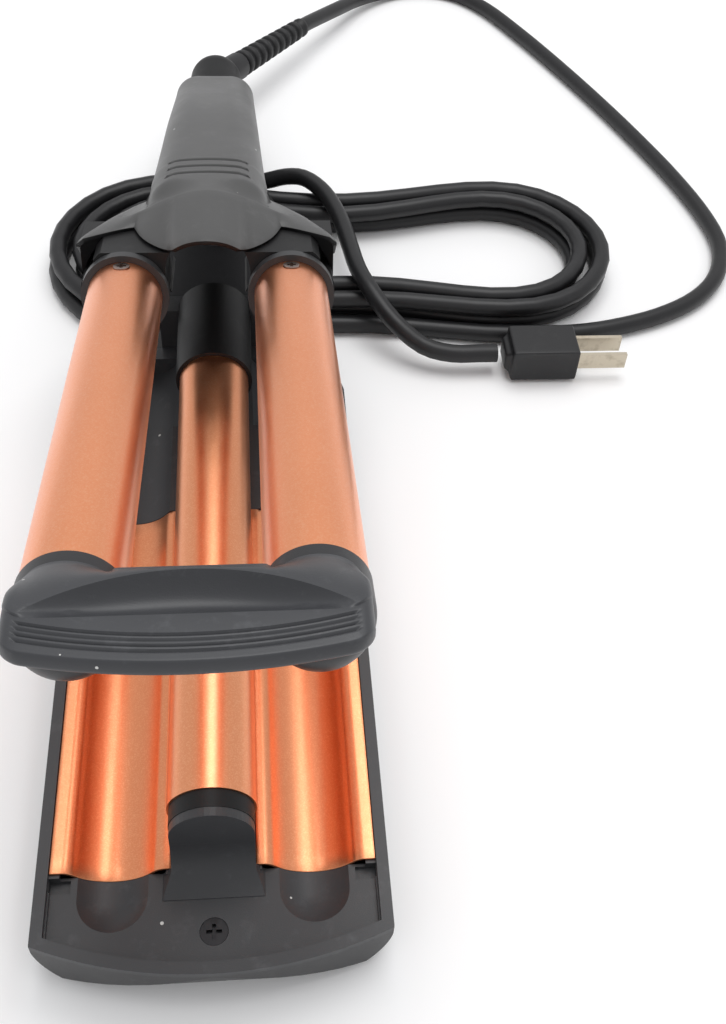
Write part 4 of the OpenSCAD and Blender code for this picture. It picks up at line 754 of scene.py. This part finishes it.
def bridge_section(x):
    """The grip's closed outline at one place across it, as (along, up)."""
    side = abs(x)
    corner = rounding(side - (bridge_half - bridge_corner), bridge_corner)
    edge_drop = rounding(side - (bridge_half - bridge_edge), bridge_edge)
    over_cap = eased((side - 13.5) / 3.5)
    cap_top = barrel_z + math.sqrt(max(0, cap_r ** 2 - min(8.6, abs(side - barrel_x)) ** 2))
    rear = rear_edge + 5.4 * over_cap - corner * 0.8
    rear_z = rear_edge_z + (cap_top + 0.12 - rear_edge_z) * over_cap - edge_drop * 0.5
    lip = lip_y + rounding(side, lip_bow) + corner
    ridge = max(ridge_y, lip + 7.4)
    crest = min(max(crest_centre + math.sqrt(crest_r ** 2 - x * x), ridge + 0.5), crest_last)
    width = crest - ridge
    depth = scoop_depth * eased(width / 14)
    crest_z, ridge_z, lip_z = crest_top - edge_drop, ridge_top - edge_drop, lip_top - edge_drop
    points = [(rear, 27.6), (rear, 28.4), (rear, min(30.5, rear_z - 1.2)), (rear, rear_z - 0.5),
              (rear - 0.12, rear_z - 0.15), (rear - 0.4, rear_z)]
    start = rear - 0.7
    for k in range(12):
        q = k / 12
        climb = math.sin(math.pi / 2 * min(1, q * 1.15))
        points.append((start + (crest - start) * q, rear_z + (crest_z - rear_z) * climb))
    # the scoop falls steeply behind the crest and climbs gently to the ridge
    for k in range(29):
        q = k / 28
        wall = 1 - (1 - min(1, q / scoop_wall)) ** 2
        climb = max(0, (q - scoop_wall) / (1 - scoop_wall)) ** 1.7
        y, z = crest - q * width, crest_z - depth * wall + (depth - crest_z + ridge_z) * climb
        if abs(side - barrel_x) < 11.5 and y > -77:
            z = max(z, barrel_z + math.sqrt(max(0, cap_r ** 2 - (side - barrel_x) ** 2)) + 0.6)
        points.append((y, z))
    # the band between the ridge and the lip, with its fine grooves
    edge = lip + 0.7
    for k in range(1, 43):
        if k <= 8:
            y = ridge + (lip + lip_band - ridge) * k / 8
        else:
            y = lip + lip_band + (0.7 - lip_band) * (k - 8) / 34
        z = ridge_z + (lip_z - ridge_z) * max(0, (ridge - y) / (ridge - edge)) ** 1.3
        for g in range(4):
            off = abs(y - (lip + line_y + line_step * g))
            z -= line_cut * (1 - eased((off - 0.08) / 0.36)) * eased((30.2 - side) / 0.8)
        points.append((y, z))
    points += [(edge - 0.2, lip_z - 0.05), (edge - 0.38, lip_z - 0.2), (edge - 0.5, lip_z - 0.5),
               (lip + 0.05, lip_z - 1.2), (lip, 31.6), (lip + 0.15, 31.0), (lip + 0.5, 30.6),
               (lip + 1.2, 30.4), (lip + 5, 30.0), (-80, 29.4), (-74, 28.4), points[0]]
    return points


bridge_x = []
for k in range(2 * bridge_steps + 1):
    t = k / bridge_steps - 1
    bridge_x.append(math.copysign(bridge_half * (1 - (1 - abs(t)) ** 1.35), t))
bridge_sections = [bridge_section(x) for x in bridge_x]
bridge = pressed_sheet("tip_bridge_grip", 2 * bridge_steps, len(bridge_sections[0]) - 1,
                       lambda i, j: on_arm(bridge_x[i], *bridge_sections[i][j]))
bpy.ops.object.mode_set(mode="EDIT")
bpy.ops.mesh.select_all(action="SELECT")
bpy.ops.mesh.remove_doubles(threshold=0.00005)
bpy.ops.mesh.fill_holes(sides=0)
bpy.ops.object.mode_set(mode="OBJECT")
face_outwards(bridge, 50)
for side in (-1, 1):
    bore(bridge, 11.2, 19, side * barrel_x, -65.5, barrel_z)
bpy.ops.object.select_all(action="DESELECT")
bridge.select_set(True)
bpy.context.view_layer.objects.active = bridge
bpy.ops.object.shade_smooth_by_angle(angle=math.radians(45))
tip_grey = moulded("tip_grey", (0.042, 0.0435, 0.048), (0.085, 0.088, 0.095), 0.40, 3000.0, lint=1.0)
bridge.data.materials.append(tip_grey)
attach(bridge, "upper_arm")
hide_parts("tip_bridge")

# ---------------------------------------------------------------- tip caps
# Round caps in black plastic plug the barrel tips and carry the bridge on two
# screws from below.
coat(moulded("cap_black", (0.022, 0.022, 0.024), (0.04, 0.04, 0.043), 0.42, 2800.0, lint=0.6),
     "tip_cap_left", "tip_cap_right")
